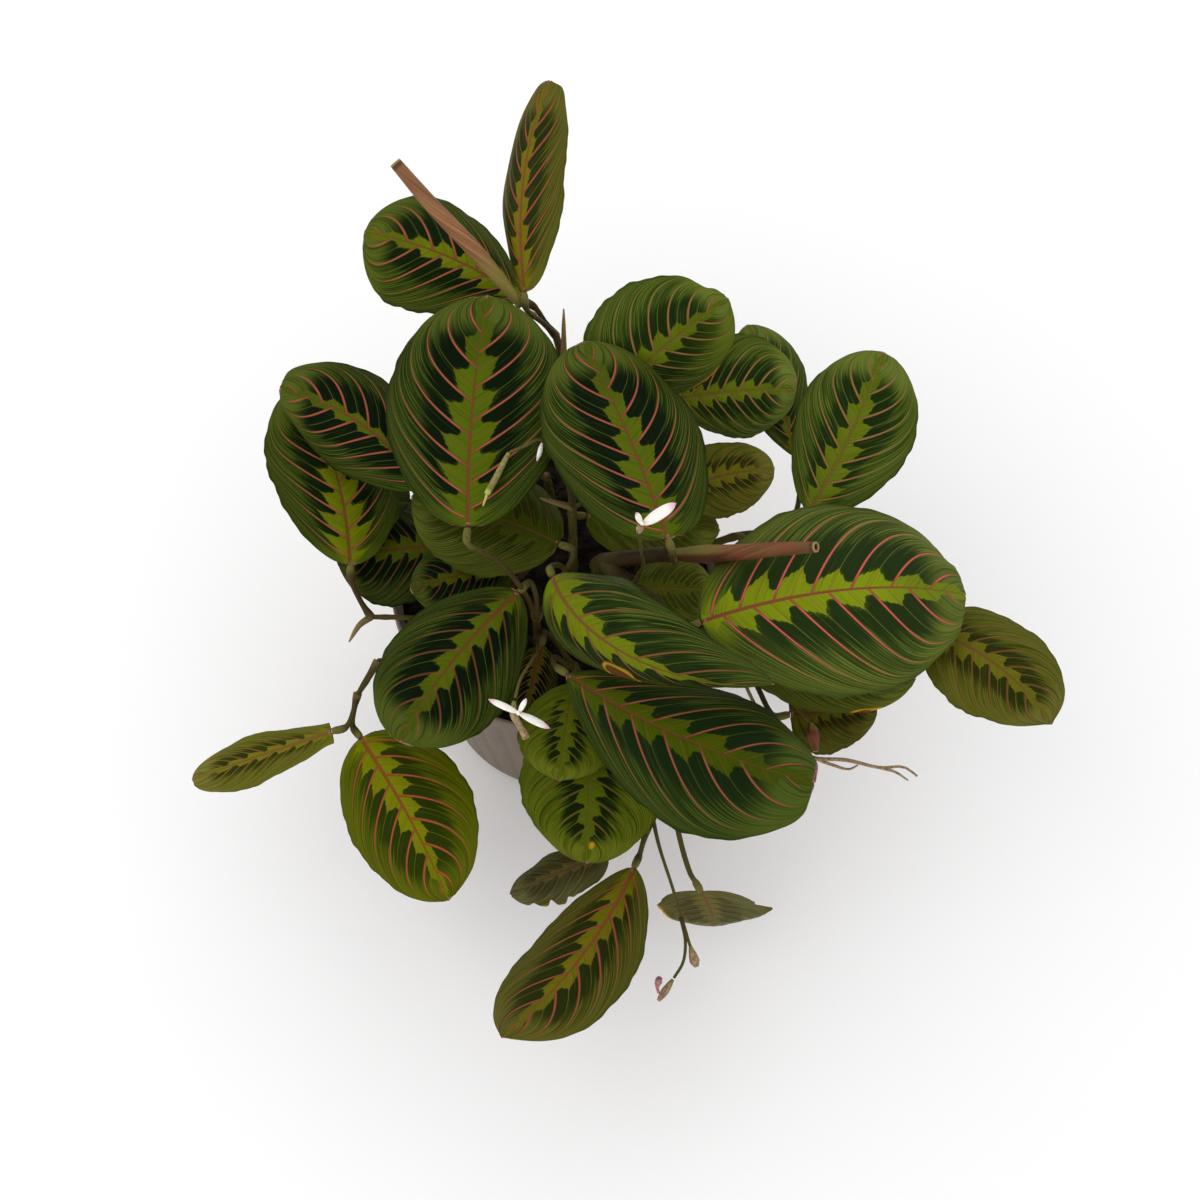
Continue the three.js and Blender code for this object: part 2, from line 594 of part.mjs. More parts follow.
// A flower or a dry part made of tubes, small petals and round buds, fused into one body. A petal
// is a small blade that grows from the flower's middle.
const FLOWER_PARTS = [
  { name: "bud_centre", colour: COLOURS.dry,
    tubes: [
      { route: [[-18.3, 15.3, 206], [-22.9, 6.7, 203], [-27.5, -1, 199.5]], radii: [0.9, 1.4, 1.3] },
      { route: [[-27.3, -0.6, 199.6], [-28.1, -2.8, 198.5], [-29.1, -5.6, 197.4]], radii: [0.8, 0.6, 0.4] },
    ] },
  { name: "bud_small_centre", colour: COLOURS.petal,
    tubes: [{ route: [[-4.4, 19.2, 207.4], [-5.2, 16.1, 206], [-6.5, 12.1, 204.5]],
      radii: [0.4, 1.1, 0.4] }] },
  { name: "flower_right_cup", colour: COLOURS.dry,
    tubes: [{ route: [[36, -29.5, 218.6], [36, -29, 220], [36.5, -28, 222]], radii: [1, 1.5, 1.2] }] },
  { name: "flower_right_petals", colour: COLOURS.petal,
    petals: [
      { base: [37, -27.6, 222.6], heading: 20, pitch: 40, length: 17, width: 6 },
      { base: [37, -27.6, 222.6], heading: 130, pitch: 60, length: 6, width: 3 },
    ],
    tubes: [{ route: [[36.8, -27.7, 222.6], [37.2, -27.5, 223.4], [37.7, -27.2, 224.2]],
      radii: [0.8, 1.1, 0.7] }] },
  { name: "flower_front_cup", colour: COLOURS.dry,
    tubes: [{ route: [[-15.9, -79.8, 163], [-16.4, -83.8, 160.5], [-14.1, -87.8, 157], [-11.1, -91.8, 152]],
      radii: [0.9, 1.7, 1.5, 1.7] }] },
  { name: "flower_front_petals", colour: COLOURS.petal,
    petals: [
      { base: [-14, -85.2, 163], heading: -20, pitch: -12, length: 15, width: 3.8 },
      { base: [-14, -85.2, 163], heading: 158, pitch: 20, length: 14, width: 3.4 },
      { base: [-14, -85.2, 163], heading: 60, pitch: 30, length: 7, width: 2.6 },
    ],
    tubes: [{ route: [[-14.8, -85.4, 162.6], [-14, -85.2, 163.1], [-13.2, -85, 163.4]],
      radii: [0.7, 1, 0.7] }] },
  { name: "bract_front_right", colour: COLOURS.dry,
    tubes: [{ route: [[60.15, -155.25, 62.8], [61.5, -159, 60], [63, -163, 57]], radii: [0.8, 1.6, 2.3] }] },
  { name: "bract_front_left", colour: COLOURS.dry,
    tubes: [{ route: [[52.5, -168.6, 55.6], [50, -172, 54], [46, -177, 51]], radii: [0.8, 1.5, 1.7] }] },
  { name: "withered_flower_front", colour: COLOURS.rolled,
    tubes: [{ route: [[46, -174, 53.6], [45.5, -172, 57], [46.5, -169, 60]], radii: [0.8, 0.7, 1.8] }] },
  { name: "dry_stalk_right", colour: COLOURS.dry,
    tubes: [
      { route: [[80, -46, 125.6], [92, -68, 116], [104, -81, 114], [114, -86, 114.5], [128, -86, 112],
        [143.5, -87.6, 107], [154.4, -86.6, 105], [160.4, -89.7, 102]], radii: [0.9, 0.9, 1, 0.8, 0.8, 0.5] },
      { route: [[143.5, -87.6, 107], [150.7, -89.1, 105], [156.1, -92.1, 103]], radii: [0.8, 0.5] },
      { route: [[114, -86, 114.3], [121, -88.2, 112.5], [129.3, -89.9, 111], [133.2, -88.4, 112]],
        radii: [0.9, 0.5] },
    ] },
];

const petalDefaults = { camber: 40, wave: 0, tip: 0.4 };

function makeFlowerPart({ name, colour, tubes = [], petals = [] }) {
  const parts = tubes.map(({ route, radii }) => tube(route, radii, STALK_SIDES, 2 * route.length));
  for (const petal of petals) {
    parts.push(blade({ ...leafDefaults, ...petalDefaults, ...petal }, PETAL_STEPS, PETAL_STRIPS));
  }
  place(name, fuse(parts), colour, 0.6);
}

for (const shoot of SHOOTS) {
  makeShoot(shoot);
  for (const leaf of shoot.leaves) place(leaf.name, blade({ ...leafDefaults, ...leaf }), COLOURS.leaf, 0.45);
}
makePot();
makeSoil();
ROLLED_LEAVES.forEach(makeRolledLeaf);
FLOWER_PARTS.forEach(makeFlowerPart);

export default plant;
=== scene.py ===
import math
from itertools import combinations

import bpy
import numpy as np
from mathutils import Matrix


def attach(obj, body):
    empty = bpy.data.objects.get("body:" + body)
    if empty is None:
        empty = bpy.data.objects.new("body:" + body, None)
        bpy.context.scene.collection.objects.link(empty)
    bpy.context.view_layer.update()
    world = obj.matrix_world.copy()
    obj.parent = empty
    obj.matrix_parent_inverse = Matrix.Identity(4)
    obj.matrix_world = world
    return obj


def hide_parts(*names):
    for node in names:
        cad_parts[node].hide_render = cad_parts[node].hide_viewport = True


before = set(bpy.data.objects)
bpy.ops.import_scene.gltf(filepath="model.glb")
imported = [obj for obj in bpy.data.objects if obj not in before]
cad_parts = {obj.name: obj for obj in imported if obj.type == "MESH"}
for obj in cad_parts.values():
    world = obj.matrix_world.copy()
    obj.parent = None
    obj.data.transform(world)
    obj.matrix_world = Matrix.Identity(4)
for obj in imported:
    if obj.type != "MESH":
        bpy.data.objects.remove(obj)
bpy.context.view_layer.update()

# Pot: a thin nursery pot, moulded in taupe plastic with 36 flat upright ribs between narrow
# grooves, a plain rim band and six drain holes. It stands on its flat foot.
MM = 0.001
POT_HEIGHT = 120.0
RIM_RADIUS = 75.0
RIM_BAND = 9.0
WALL_TOP_RADIUS = 73.0
FOOT_RADIUS = 56.0
WALL = 1.8
FLOOR = 3.0
RIBS = 36
GROOVE_DEPTH = 0.8
GROOVE_SHARPNESS = 5
WALL_ROWS = 14
POT_SIDES = 360
DRAIN_HOLES = 6
DRAIN_RADIUS = 4.5
DRAIN_CIRCLE = 40.0


def linear(red, green, blue):
    """A display colour, 0 to 255, as linear light: channel c becomes ((c + 0.055) / 1.055) ** 2.4."""
    c = np.array([red, green, blue]) / 255
    light = np.where(c <= 0.04045, c / 12.92, ((c + 0.055) / 1.055) ** 2.4)
    return (*light.tolist(), 1.0)


def operation(kind):
    """A method of Signal that adds one Math node of this kind."""
    return lambda self, *others: self.wiring.math(kind, self, *others)


class Signal:
    """One output of a shader node. Arithmetic with it adds Math nodes to the same tree."""

    def __init__(self, wiring, socket):
        self.wiring = wiring
        self.socket = socket

    __add__ = operation("ADD")
    __sub__ = operation("SUBTRACT")
    __mul__ = operation("MULTIPLY")
    __truediv__ = operation("DIVIDE")
    __gt__ = operation("GREATER_THAN")
    __abs__ = operation("ABSOLUTE")
    least = operation("MINIMUM")
    most = operation("MAXIMUM")
    fract = operation("FRACT")
    floor = operation("FLOOR")
    sine = operation("SINE")

    def __rsub__(self, other):
        return self.wiring.math("SUBTRACT", other, self)

    def __rtruediv__(self, other):
        return self.wiring.math("DIVIDE", other, self)

    def step(self, low, high, to_low=0.0, to_high=1.0):
        """A smooth step: to_low as far as low, to_high from high on, and a soft curve between them."""
        values = {"Value": self, "From Min": low, "From Max": high, "To Min": to_low, "To Max": to_high}
        return self.wiring.add("ShaderNodeMapRange", values, interpolation_type="SMOOTHSTEP")


class Wiring:
    """Adds nodes to one node tree. Most methods return the new node's output as a Signal."""

    def __init__(self, tree):
        self.tree = tree

    def feed(self, socket, value):
        if isinstance(value, Signal):
            self.tree.links.new(value.socket, socket)
        else:
            socket.default_value = value

    def node(self, kind, values, **settings):
        node = self.tree.nodes.new(kind)
        for name, setting in settings.items():
            setattr(node, name, setting)
        for key, value in values.items():
            self.feed(node.inputs[key], value)
        return node

    def add(self, kind, values, output=0, **settings):
        return Signal(self, self.node(kind, values, **settings).outputs[output])

    def math(self, kind, *values):
        return self.add("ShaderNodeMath", dict(enumerate(values)), operation=kind)

    def mix(self, share, first, second, mode="MIX"):
        values = {0: share, 6: first, 7: second}
        return self.add("ShaderNodeMix", values, output=2, data_type="RGBA", blend_type=mode)

    def layers(self, base, *layers):
        """A base colour with display colours laid over it in turn, each as far as its mask says."""
        for mask, colour in layers:
            base = self.mix(mask, base, linear(*colour))
        return base

    def vector(self, x, y, z):
        return self.add("ShaderNodeCombineXYZ", {0: x, 1: y, 2: z})

    def noise(self, place, scale, detail=2.0):
        return self.add("ShaderNodeTexNoise", {"Vector": place, "Scale": scale, "Detail": detail})

    def grain(self, scale, detail=2.0):
        """Noise over the object's own coordinates, in metres."""
        return self.noise(self.add("ShaderNodeTexCoord", {}, "Object"), scale, detail)

    def attribute(self, name):
        return self.add("ShaderNodeAttribute", {}, "Fac", attribute_name=name)

    def paint(self, colour, relief, depth, roughness=None):
        """Feeds the material's shader: its colour, bumps of relief times depth in metres, its roughness."""
        shader = self.tree.nodes["Principled BSDF"].inputs
        self.feed(shader["Base Color"], colour)
        self.feed(shader["Normal"], self.add("ShaderNodeBump", {"Height": relief, "Distance": depth}))
        if roughness is not None:
            self.feed(shader["Roughness"], roughness)


def new_material(name, **constants):
    """A material with one Principled shader, and its wiring. Constants go on the shader's own sockets."""
    material = bpy.data.materials.new(name)
    material.use_nodes = True
    shader = material.node_tree.nodes["Principled BSDF"].inputs
    for socket, value in constants.items():
        shader[socket.replace("_", " ")].default_value = value
    return material, Wiring(material.node_tree)


def placed(name, data):
    """A new object in the scene, at the origin."""
    thing = bpy.data.objects.new(name, data)
    bpy.context.scene.collection.objects.link(thing)
    return thing


def meshed(name, points, faces, materials=()):
    """An object made from points in mm and arrays of faces."""
    mesh = bpy.data.meshes.new(name)
    mesh.from_pydata((points * MM).tolist(), [], [face for group in faces for face in group.tolist()])
    for material in materials:
        mesh.materials.append(material)
    return placed(name, mesh)


def new_piece(name, node, slot, points, faces, materials, **attributes):
    """A closed piece from points in mm and arrays of faces. It stands for the CAD node. Its slot is not used.
    """
    piece = meshed(name, points, faces, materials)
    for key, values in attributes.items():
        layer = piece.data.attributes.new(key, "FLOAT", "POINT")
        layer.data.foreach_set("value", np.broadcast_to(values, len(points)).astype(np.float32))
    piece.data.shade_smooth()
    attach(piece, "root")
    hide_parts(node)
    return piece


def tube_faces(rows, sides):
    """Quads between the rows of a tube, and a fan at each end round one of the last two points."""
    index = np.arange(rows * sides).reshape(rows, sides)
    across = np.roll(index, -1, 1)
    quads = np.stack([index[:-1], across[:-1], across[1:], index[1:]], -1).reshape(-1, 4)
    start = np.stack([np.full(sides, rows * sides), across[0], index[0]], -1)
    end = np.stack([np.full(sides, rows * sides + 1), index[-1], across[-1]], -1)
    return [quads, start, end]


def turned(profile, sides, radius_change=0.0):
    """A (radius, height) profile turned about Z, with one point on the axis at each of its ends.

    Row i, column j lies at angle 2 pi j / sides. radius_change is added to the radius.
    """
    radius, height = np.array(profile[1:-1]).T
    angle = 2 * np.pi * np.arange(sides) / sides
    reach = radius[:, None] + radius_change
    grid = np.stack([reach * np.cos(angle), reach * np.sin(angle), np.repeat(height[:, None], sides, 1)], -1)
    ends = [[0, 0, profile[0][1]], [0, 0, profile[-1][1]]]
    return np.vstack([grid.reshape(-1, 3), ends]), tube_faces(len(radius), sides)


band_foot = POT_HEIGHT - RIM_BAND
outer_wall = np.linspace([FOOT_RADIUS, 1.2], [WALL_TOP_RADIUS, band_foot - 1], WALL_ROWS)
inner_wall = outer_wall[::-1] - [WALL, 0]
inner_wall[-1] = [FOOT_RADIUS - WALL - 0.6, FLOOR + 0.6]
pot_profile = [
    (0, 0),
    (FOOT_RADIUS - 2.5, 0),
    (FOOT_RADIUS - 1, 0.1),
    (FOOT_RADIUS - 0.3, 0.5),
    *outer_wall.tolist(),
    (RIM_RADIUS - 0.6, band_foot - 0.4),
    (RIM_RADIUS, band_foot + 0.4),
    (RIM_RADIUS, POT_HEIGHT - 0.9),
    (RIM_RADIUS - 0.5, POT_HEIGHT - 0.1),
    (RIM_RADIUS - WALL + 0.4, POT_HEIGHT),
    (RIM_RADIUS - WALL, POT_HEIGHT - 0.6),
    (RIM_RADIUS - WALL, band_foot + 1),
    *inner_wall.tolist(),
    (FOOT_RADIUS - WALL - 2, FLOOR),
    (0, FLOOR),
]
height = np.array(pot_profile[1:-1])[:, 1:]
row = np.arange(len(height))[:, None] - 3
on_outer_wall = (row >= 0) & (row < len(outer_wall))
fade = on_outer_wall * np.clip((band_foot - 2 - height) / 3, 0, 1) * np.clip((height - 2) / 3, 0, 1)
turn = 2 * np.pi * np.arange(POT_SIDES) / POT_SIDES
groove = ((1 + np.cos(RIBS * turn)) / 2) ** GROOVE_SHARPNESS
points, faces = turned(pot_profile, POT_SIDES, -GROOVE_DEPTH * groove * fade)

pot_plastic, own = new_material("pot_plastic", Roughness=0.62, Specular_IOR_Level=0.35)
dust = own.grain(34.0, 4.0).step(0.42, 0.72)
taupe = own.layers(linear(112, 97, 82), (dust * 0.5, (134, 121, 106)))
own.paint(taupe, own.grain(900.0), 0.00006, dust.step(0, 1, 0.55, 0.72))
pot = new_piece("nursery_pot", "pot", "pot", points, faces, [pot_plastic])

drills, drill_faces = [], []
for k in range(DRAIN_HOLES):
    angle = 2 * math.pi * k / DRAIN_HOLES
    column, column_faces = turned([(0, -4), (DRAIN_RADIUS, -4), (DRAIN_RADIUS, 7), (0, 7)], 32)
    drill_faces += [group + len(column) * k for group in column_faces]
    drills.append(column + [DRAIN_CIRCLE * math.cos(angle), DRAIN_CIRCLE * math.sin(angle), 0])
drill = meshed("drill", np.vstack(drills), drill_faces)
cut = pot.modifiers.new("drain_holes", "BOOLEAN")
cut.operation = "DIFFERENCE"
cut.object = drill
bored = bpy.data.meshes.new_from_object(pot.evaluated_get(bpy.context.evaluated_depsgraph_get()))
pot.modifiers.remove(cut)
pot.data = bored
pot.data.set_sharp_from_angle(angle=math.radians(40))
bpy.data.objects.remove(drill)

# Soil: dark moist potting mix, filled to a little under the rim and heaped unevenly, with loose
# crumbs on top. The stems stand in it.
SOIL_TOP = 108.0
SOIL_EDGE = 70.1
SOIL_FOOT = 53.8
SOIL_SIDES = 160
SOIL_RINGS = 46
SETTLED = 0.4
WAVE_HEIGHT = 0.39
WAVE_PACES = (0.09, 1.1)
CRUMBS = 620
CRUMB_SIZES = (0.5, 1.7)
CRUMB_CIRCLE = 67.0
draw = np.random.default_rng(11)


def soil_height(x, y, waves=40, seed=3):
    """The uneven top of the soil: its level plus a sum of waves in random directions, finer ones lower."""
    pick = np.random.default_rng(seed)
    heading = pick.uniform(0, 2 * np.pi, waves)
    pace = np.geomspace(*WAVE_PACES, waves)
    start = pick.uniform(0, 2 * np.pi, waves)
    way = x[:, None] * np.cos(heading) + y[:, None] * np.sin(heading)
    return SOIL_TOP - SETTLED + WAVE_HEIGHT * np.sin(pace * way + start) @ (pace[0] / pace) ** 0.4


soil_profile = [(0, FLOOR + 0.3), (SOIL_FOOT, FLOOR + 0.3), (SOIL_EDGE, SOIL_TOP - 2)]
soil_profile += [(r, SOIL_TOP) for r in np.linspace(SOIL_EDGE, 1.2, SOIL_RINGS)[1:]] + [(0, SOIL_TOP)]
points, faces = turned(soil_profile, SOIL_SIDES)
on_top = points[:, 2] == SOIL_TOP
points[on_top, 2] = soil_height(points[on_top, 0], points[on_top, 1])

# Each crumb is an icosahedron with its corners pulled in and out. Its corners lie 1 from the centre,
# so three of them make a face where they lie less than 1.2 apart: an edge is 1.05, a diagonal 1.7.
golden = (1 + 5 ** 0.5) / 2
corners = np.array([[0, a, b * golden] for a in (-1, 1) for b in (-1, 1)])
corners = np.vstack([np.roll(corners, k, 1) for k in range(3)]) / 1.902
trios = np.array(list(combinations(range(12), 3)))
a, b, c = corners[trios].transpose(1, 0, 2)
near = np.max([np.linalg.norm(p - q, axis=1) for p, q in ((a, b), (b, c), (c, a))], 0) < 1.2
outward = (np.cross(b - a, c - a) * a).sum(1) > 0
hull_faces = np.where(outward[:, None], trios, trios[:, [0, 2, 1]])[near]
crumb_size = draw.uniform(*CRUMB_SIZES, CRUMBS)
crumb_radius = CRUMB_CIRCLE * np.sqrt(draw.uniform(0, 1, CRUMBS))
crumb_turn = draw.uniform(0, 2 * np.pi, CRUMBS)
crumb_x = crumb_radius * np.cos(crumb_turn)
crumb_y = crumb_radius * np.sin(crumb_turn)
crumb_centres = np.stack([crumb_x, crumb_y, soil_height(crumb_x, crumb_y) + 0.3 * crumb_size], -1)
crumb_shape = corners * draw.uniform(0.6, 1.2, (CRUMBS, 12, 1)) * crumb_size[:, None, None]
crumb_points = (crumb_centres[:, None] + crumb_shape * [1.2, 1.0, 0.8]).reshape(-1, 3)
crumb_faces = (hull_faces + 12 * np.arange(CRUMBS)[:, None, None]).reshape(-1, 3) + len(points)

potting_mix, own = new_material("potting_mix", Roughness=0.95, Specular_IOR_Level=0.2)
clods = own.grain(160.0, 6.0)
fibres = own.grain(520.0, 3.0).step(0.55, 0.7)
earth = own.layers(linear(12, 9, 7), (clods.step(0.35, 0.65), (34, 26, 20)), (fibres * 0.4, (62, 48, 34)))
own.paint(earth, clods, 0.0016)
points = np.vstack([points, crumb_points])
new_piece("potting_soil", "soil", "soil", points, [*faces, crumb_faces], [potting_mix])

# Leaf plan: thin blades, each grown on a stalk from one of the stems. A row gives the stem, where the
# blade starts, in mm, how it heads, climbs and bends, in degrees, its size, and its stalk's way to it,
# and ends with what sets the leaf apart.
BLADE_COLUMNS = ("on", "base", "heading", "pitch", "length", "width", "roll", "camber", "bend", "swing",
                 "twist", "widest", "tip", "stalk")
# The last entries: the leaf's kind of colours ("look"), its brightness ("shade"),
# which is partly its own tone and partly painted light and shade for how brightly it is lit, how wide
# its lime band is in even steps to the tip ("band"), scorched and lime spots, each by its share along
# and across, its spread both ways and its strength, and notches, as in uneven_edge.
BLADE_USUAL = dict(heel=0, wave=1.2, waves=2, notches=(), look="deep", shade=1.0, band=[1.0], scorched=(),
                   limed=())
LEAVES = {
    "leaf_back_upright": ("stem_back", (-13, 92, 212), 98, 24, 98, 39, -34, 52, 14, -29, 32, 0.48, -0.2,
        [(0.5, 87, 185), (-5, 86.5, 196)], dict(look="amber", shade=1.05, band=[0.9])),
    "leaf_back_left": ("stem_back", (-14, 99, 196), 150, 21, 77, 62, 1, 23, 24, 17, -14, 0.64, -0.03,
        [(0.5, 87, 185), (-4, 91, 189)], dict(look="limed", shade=1.05, band=[1.2, 1.0, 0.9, 0.8])),
    "leaf_centre_left": ("stem_centre_left", (-36, -10, 187), 90, 29, 102, 80, -8, 15, 23, -9, 7, 0.53, 0,
        [(-8, -30, 140), (-13, -27, 160), (-24, -20, 176)], dict(band=[0.9, 1.2, 1.25, 1.15])),
    "leaf_inner_left": ("stem_centre_left", (2, -4, 160), 154, 6, 70, 56, 0, 26, 16, 10, 0, 0.5, 0.1,
        [(-8, -30, 138), (2, -18, 150)], dict(look="plain", shade=0.9)),
    "leaf_front_left_broad": ("stem_centre_left",
        (-15, -28, 161), -133, 7, 84, 60, -5, 29, 20, 14, 2, 0.57, 0.01,
        [(-8, -30, 142), (-8, -26, 156)], dict(look="quiet", shade=0.92, band=[0.5, 0.9, 1.1, 1.1])),
    "leaf_left_upper": ("stem_left_upper", (-56, 17, 174), 126, 10, 85, 50, -16, 44, 22, 34, -35, 0.55, -0.2,
        [(-4, 36, 148), (-18, 30, 165), (-38, 12, 171)], dict(band=[0.1, 0.2, 0.6, 0.75, 0.8])),
    "leaf_left_under": ("stem_left_inner", (-47, 9, 133), -174, 10, 52, 54, 0, 22, 20, 0, 0, 0.5, 0.1,
        [(-20, -6, 120), (-30, 4, 127)], dict(notches=[(0.38, -1, -0.34, 0.15)], look="quiet", shade=0.7)),
    "leaf_inner_left_low": ("stem_left_inner", (-19, -6, 146), -165, 5, 46, 40, 0, 22, 16, 0, 0, 0.5, 0.1,
        [(-20, -6, 124), (-12, -5, 138)], dict(look="quiet", shade=0.75)),
    "leaf_left_lower": ("stem_left", (-90, -7, 146), 94, 12, 90, 60, 19, 12, 13, 26, 7, 0.55, -0.16,
        [(-82, -24, 128), (-86, -20, 136)],
        dict(notches=[(0.34, -1, -0.27, 0.09)], look="limed", shade=0.98, band=[1.2, 1.3, 1.1])),
    "leaf_far_left_curled": ("stem_front_left",
        (-98.7, -72.5, 112), -163, -7, 70, 25, 3, 24, 24, -10, -9, 0.57, -0.09,
        [(-78, -45, 127), (-86, -57, 121)], dict(heel=-0.3, look="olive", shade=1.2, band=[0.9])),
    "leaf_front_left_outer": ("stem_front_left",
        (-86, -74, 108), -56, 3, 85, 59, 19, 24, 8, -10, 16, 0.48, 0.17,
        [(-87, -58, 120.5), (-89, -63, 114)], dict(look="golden", shade=0.95, band=[0.9])),
    "leaf_centre_right": ("stem_right", (48, -25, 205), 108, 11, 98, 73, 18, 15, 13, 6, -10, 0.48, -0.04,
        [(50, -17, 176), (51, -27, 188)], dict(shade=1.02)),
    "leaf_right_broad": ("stem_right", (62, -54, 186), 14, 16, 124, 91, 7, 30, 54, -5, 7, 0.52, -0.2,
        [(34, -25, 163), (42, -34, 171), (48, -46, 181)],
        dict(notches=[(0.97, 1, 0.9, 0.05)], look="bright", band=[0.75, 0.9, 1.0, 0.9])),
    "leaf_back_right": ("stem_back_right", (27, 57, 186), 34, 37, 65, 65, 52, 38, 5, -14, -16, 0.37, 0.18,
        [(24, 46, 140), (22, 48, 170)],
        dict(notches=[(0.93, 1, 0.6, 0.05)], look="fresh", shade=1.02, band=[0.9],
        scorched=[(0.42, -1.0, 0.22, 0.07, 0.8)], limed=[(0.82, -0.85, 0.2, 0.45, 0.85)])),
    "leaf_right_upper": ("stem_back_right", (54, 66, 165), 8, 9, 54, 52, 47, 36, 12, -8, -3, 0.54, -0.15,
        [(24, 46, 134), (38, 60, 153)], dict(look="fresh", shade=1.1, band=[0.7, 0.9, 0.9])),
    "leaf_right_inner": ("stem_back_right", (55, 27, 152), 22, 9, 44, 38, 7, 29, 11, -19, 12, 0.44, -0.08,
        [(23, 45, 130), (40, 42, 144)], dict(look="olive", band=[1.2])),
    "leaf_inner_right": ("stem_back_right", (14, 20, 141), -7, 8, 60, 40, 0, 22, 16, 0, 0, 0.5, 0.1,
        [(22, 44, 120), (14, 34, 130), (6, 23, 138)], dict(look="plain", shade=1.4)),
    "leaf_right_back_low": ("stem_right_back", (109, 50, 142), 103, 14, 69, 39, -3, 43, 13, 9, -2, 0.66, 0.02,
        [(96, 14, 136), (108, 24, 135)], dict(look="fresh", shade=0.95, band=[0.6])),
    "leaf_right_tall": ("stem_right_back", (112, 12, 160), 57, 20, 79, 56, 2, 29, 6, 13, 12, 0.57, -0.07,
        [(82, 12, 137), (96, 2, 146)], dict(look="fresh", band=[1.1])),
    "leaf_inner_right_low": ("stem_right_low", (34, -20, 148), -1, 8, 36, 38, 0, 20, 16, 0, 0, 0.5, 0.1,
        [(36, -22, 116), (28, -22, 132)], dict(look="plain", shade=1.5)),
    "leaf_right_under": ("stem_right_low", (74, -44, 156), -17, 7, 84, 50, 0, 30, 22, 6, 0, 0.5, 0.1,
        [(50, -29, 126), (58, -41, 142)],
        dict(look="plain", shade=1.1, scorched=[(0.8, -1.0, 0.1, 0.09, 0.7)])),
    "leaf_far_right": ("stem_right_low", (163, -39, 146), -25, 10, 68, 52, -3, 17, 13, -37, 4, 0.43, 0.37,
        [(88, -38, 130), (120, -30, 136), (142, -24, 143)], dict(look="olive", shade=0.92, band=[0.85])),
    "leaf_right_low": ("stem_right_low", (103, -71, 128), 5, 2, 39, 38, 4, 33, 17, 5, 0, 0.35, -0.05,
        [(70, -34, 128), (86, -52, 128)], dict(heel=-0.15, look="olive", shade=0.72)),
    "leaf_centre_twisted": ("stem_centre_front",
        (0, -32, 184), -78, 30, 122, 56, 65, 68, 41, 88, 71, 0.38, 0.15,
        [(7, -18, 138), (4, -18, 165)],
        dict(look="striped", shade=0.92, band=[1.0, 1.1, 1.0, 0.5, 0.15],
        scorched=[(0.46, -0.65, 0.065, 0.33, 1.3)])),
    "leaf_front_right_broad": ("stem_front", (6, -63, 153), -44, 19, 120, 72, 1, 39, 17, 28, -29, 0.65, -0.2,
        [(7, -47, 126), (0, -50, 142)], dict(look="mellow", shade=0.98, band=[1.0, 1.05, 1.15, 1.15])),
    "leaf_front_upper": ("stem_front", (9, -62, 141), -99, 0, 43, 44, 0, 28, 24, 0, 0, 0.55, 0.1,
        [(7, -47, 126), (9, -50, 135)], dict(look="pale", shade=0.95)),
    "leaf_front_pale": ("stem_front", (17, -76, 127), -92, -13, 60, 65, 4, 20, 24, -3, 7, 0.42, -0.05,
        [(8, -45, 122), (14, -60, 129)],
        dict(look="pale", shade=0.97, band=[0.9], scorched=[(0.87, 0.12, 0.05, 0.13, 0.5)])),
    "leaf_front_shaded": ("stem_front", (-6, -38, 127), -102, 0, 34, 22, 0, 20, 14, 0, 0, 0.5, 0.1,
        [(8, -44, 118), (0, -33, 122)], dict(shade=0.9)),
    "leaf_front_outer": ("stem_front_outer",
        (35, -126, 84), -112, 10, 104, 53, 19, 14, -9, -24, 31, 0.61, 0.36,
        [(41, -111, 95), (39, -116, 88)], dict(look="amber", shade=1.03)),
    "leaf_front_outer_under": ("stem_front_outer",
        (23, -115, 72), -158, 1, 47, 33, 30, 22, 14, 0, 0, 0.5, 0.1,
        [(46, -103, 101), (38, -106, 86), (33, -109, 76)],
        dict(notches=[(0.5, 1, 0.12, 0.03), (0.66, 1, 0.22, 0.03), (0.82, 1, 0.16, 0.03)], look="grey",
        shade=1.2, scorched=[(0.6, 1.0, 0.3, 0.1, 0.5)])),
    "leaf_front_hanging": ("stem_front_outer",
        (65, -133, 72), -44, -57, 34, 51, 56, 12, 34, 7, -9, 0.52, 0.08,
        [(51, -90, 112), (54, -112, 98), (60, -128, 82)],
        dict(notches=[(0.58, 1, -0.1, 0.05), (0.4, 1, 0.16, 0.1), (0.77, 1, 0.16, 0.1)], look="grey",
        shade=1.35, scorched=[(0.6, -1.0, 0.3, 0.1, 0.62)])),
}
LEAVES = {name: {**BLADE_USUAL, **dict(zip(BLADE_COLUMNS, row)), **row[-1]} for name, row in LEAVES.items()}

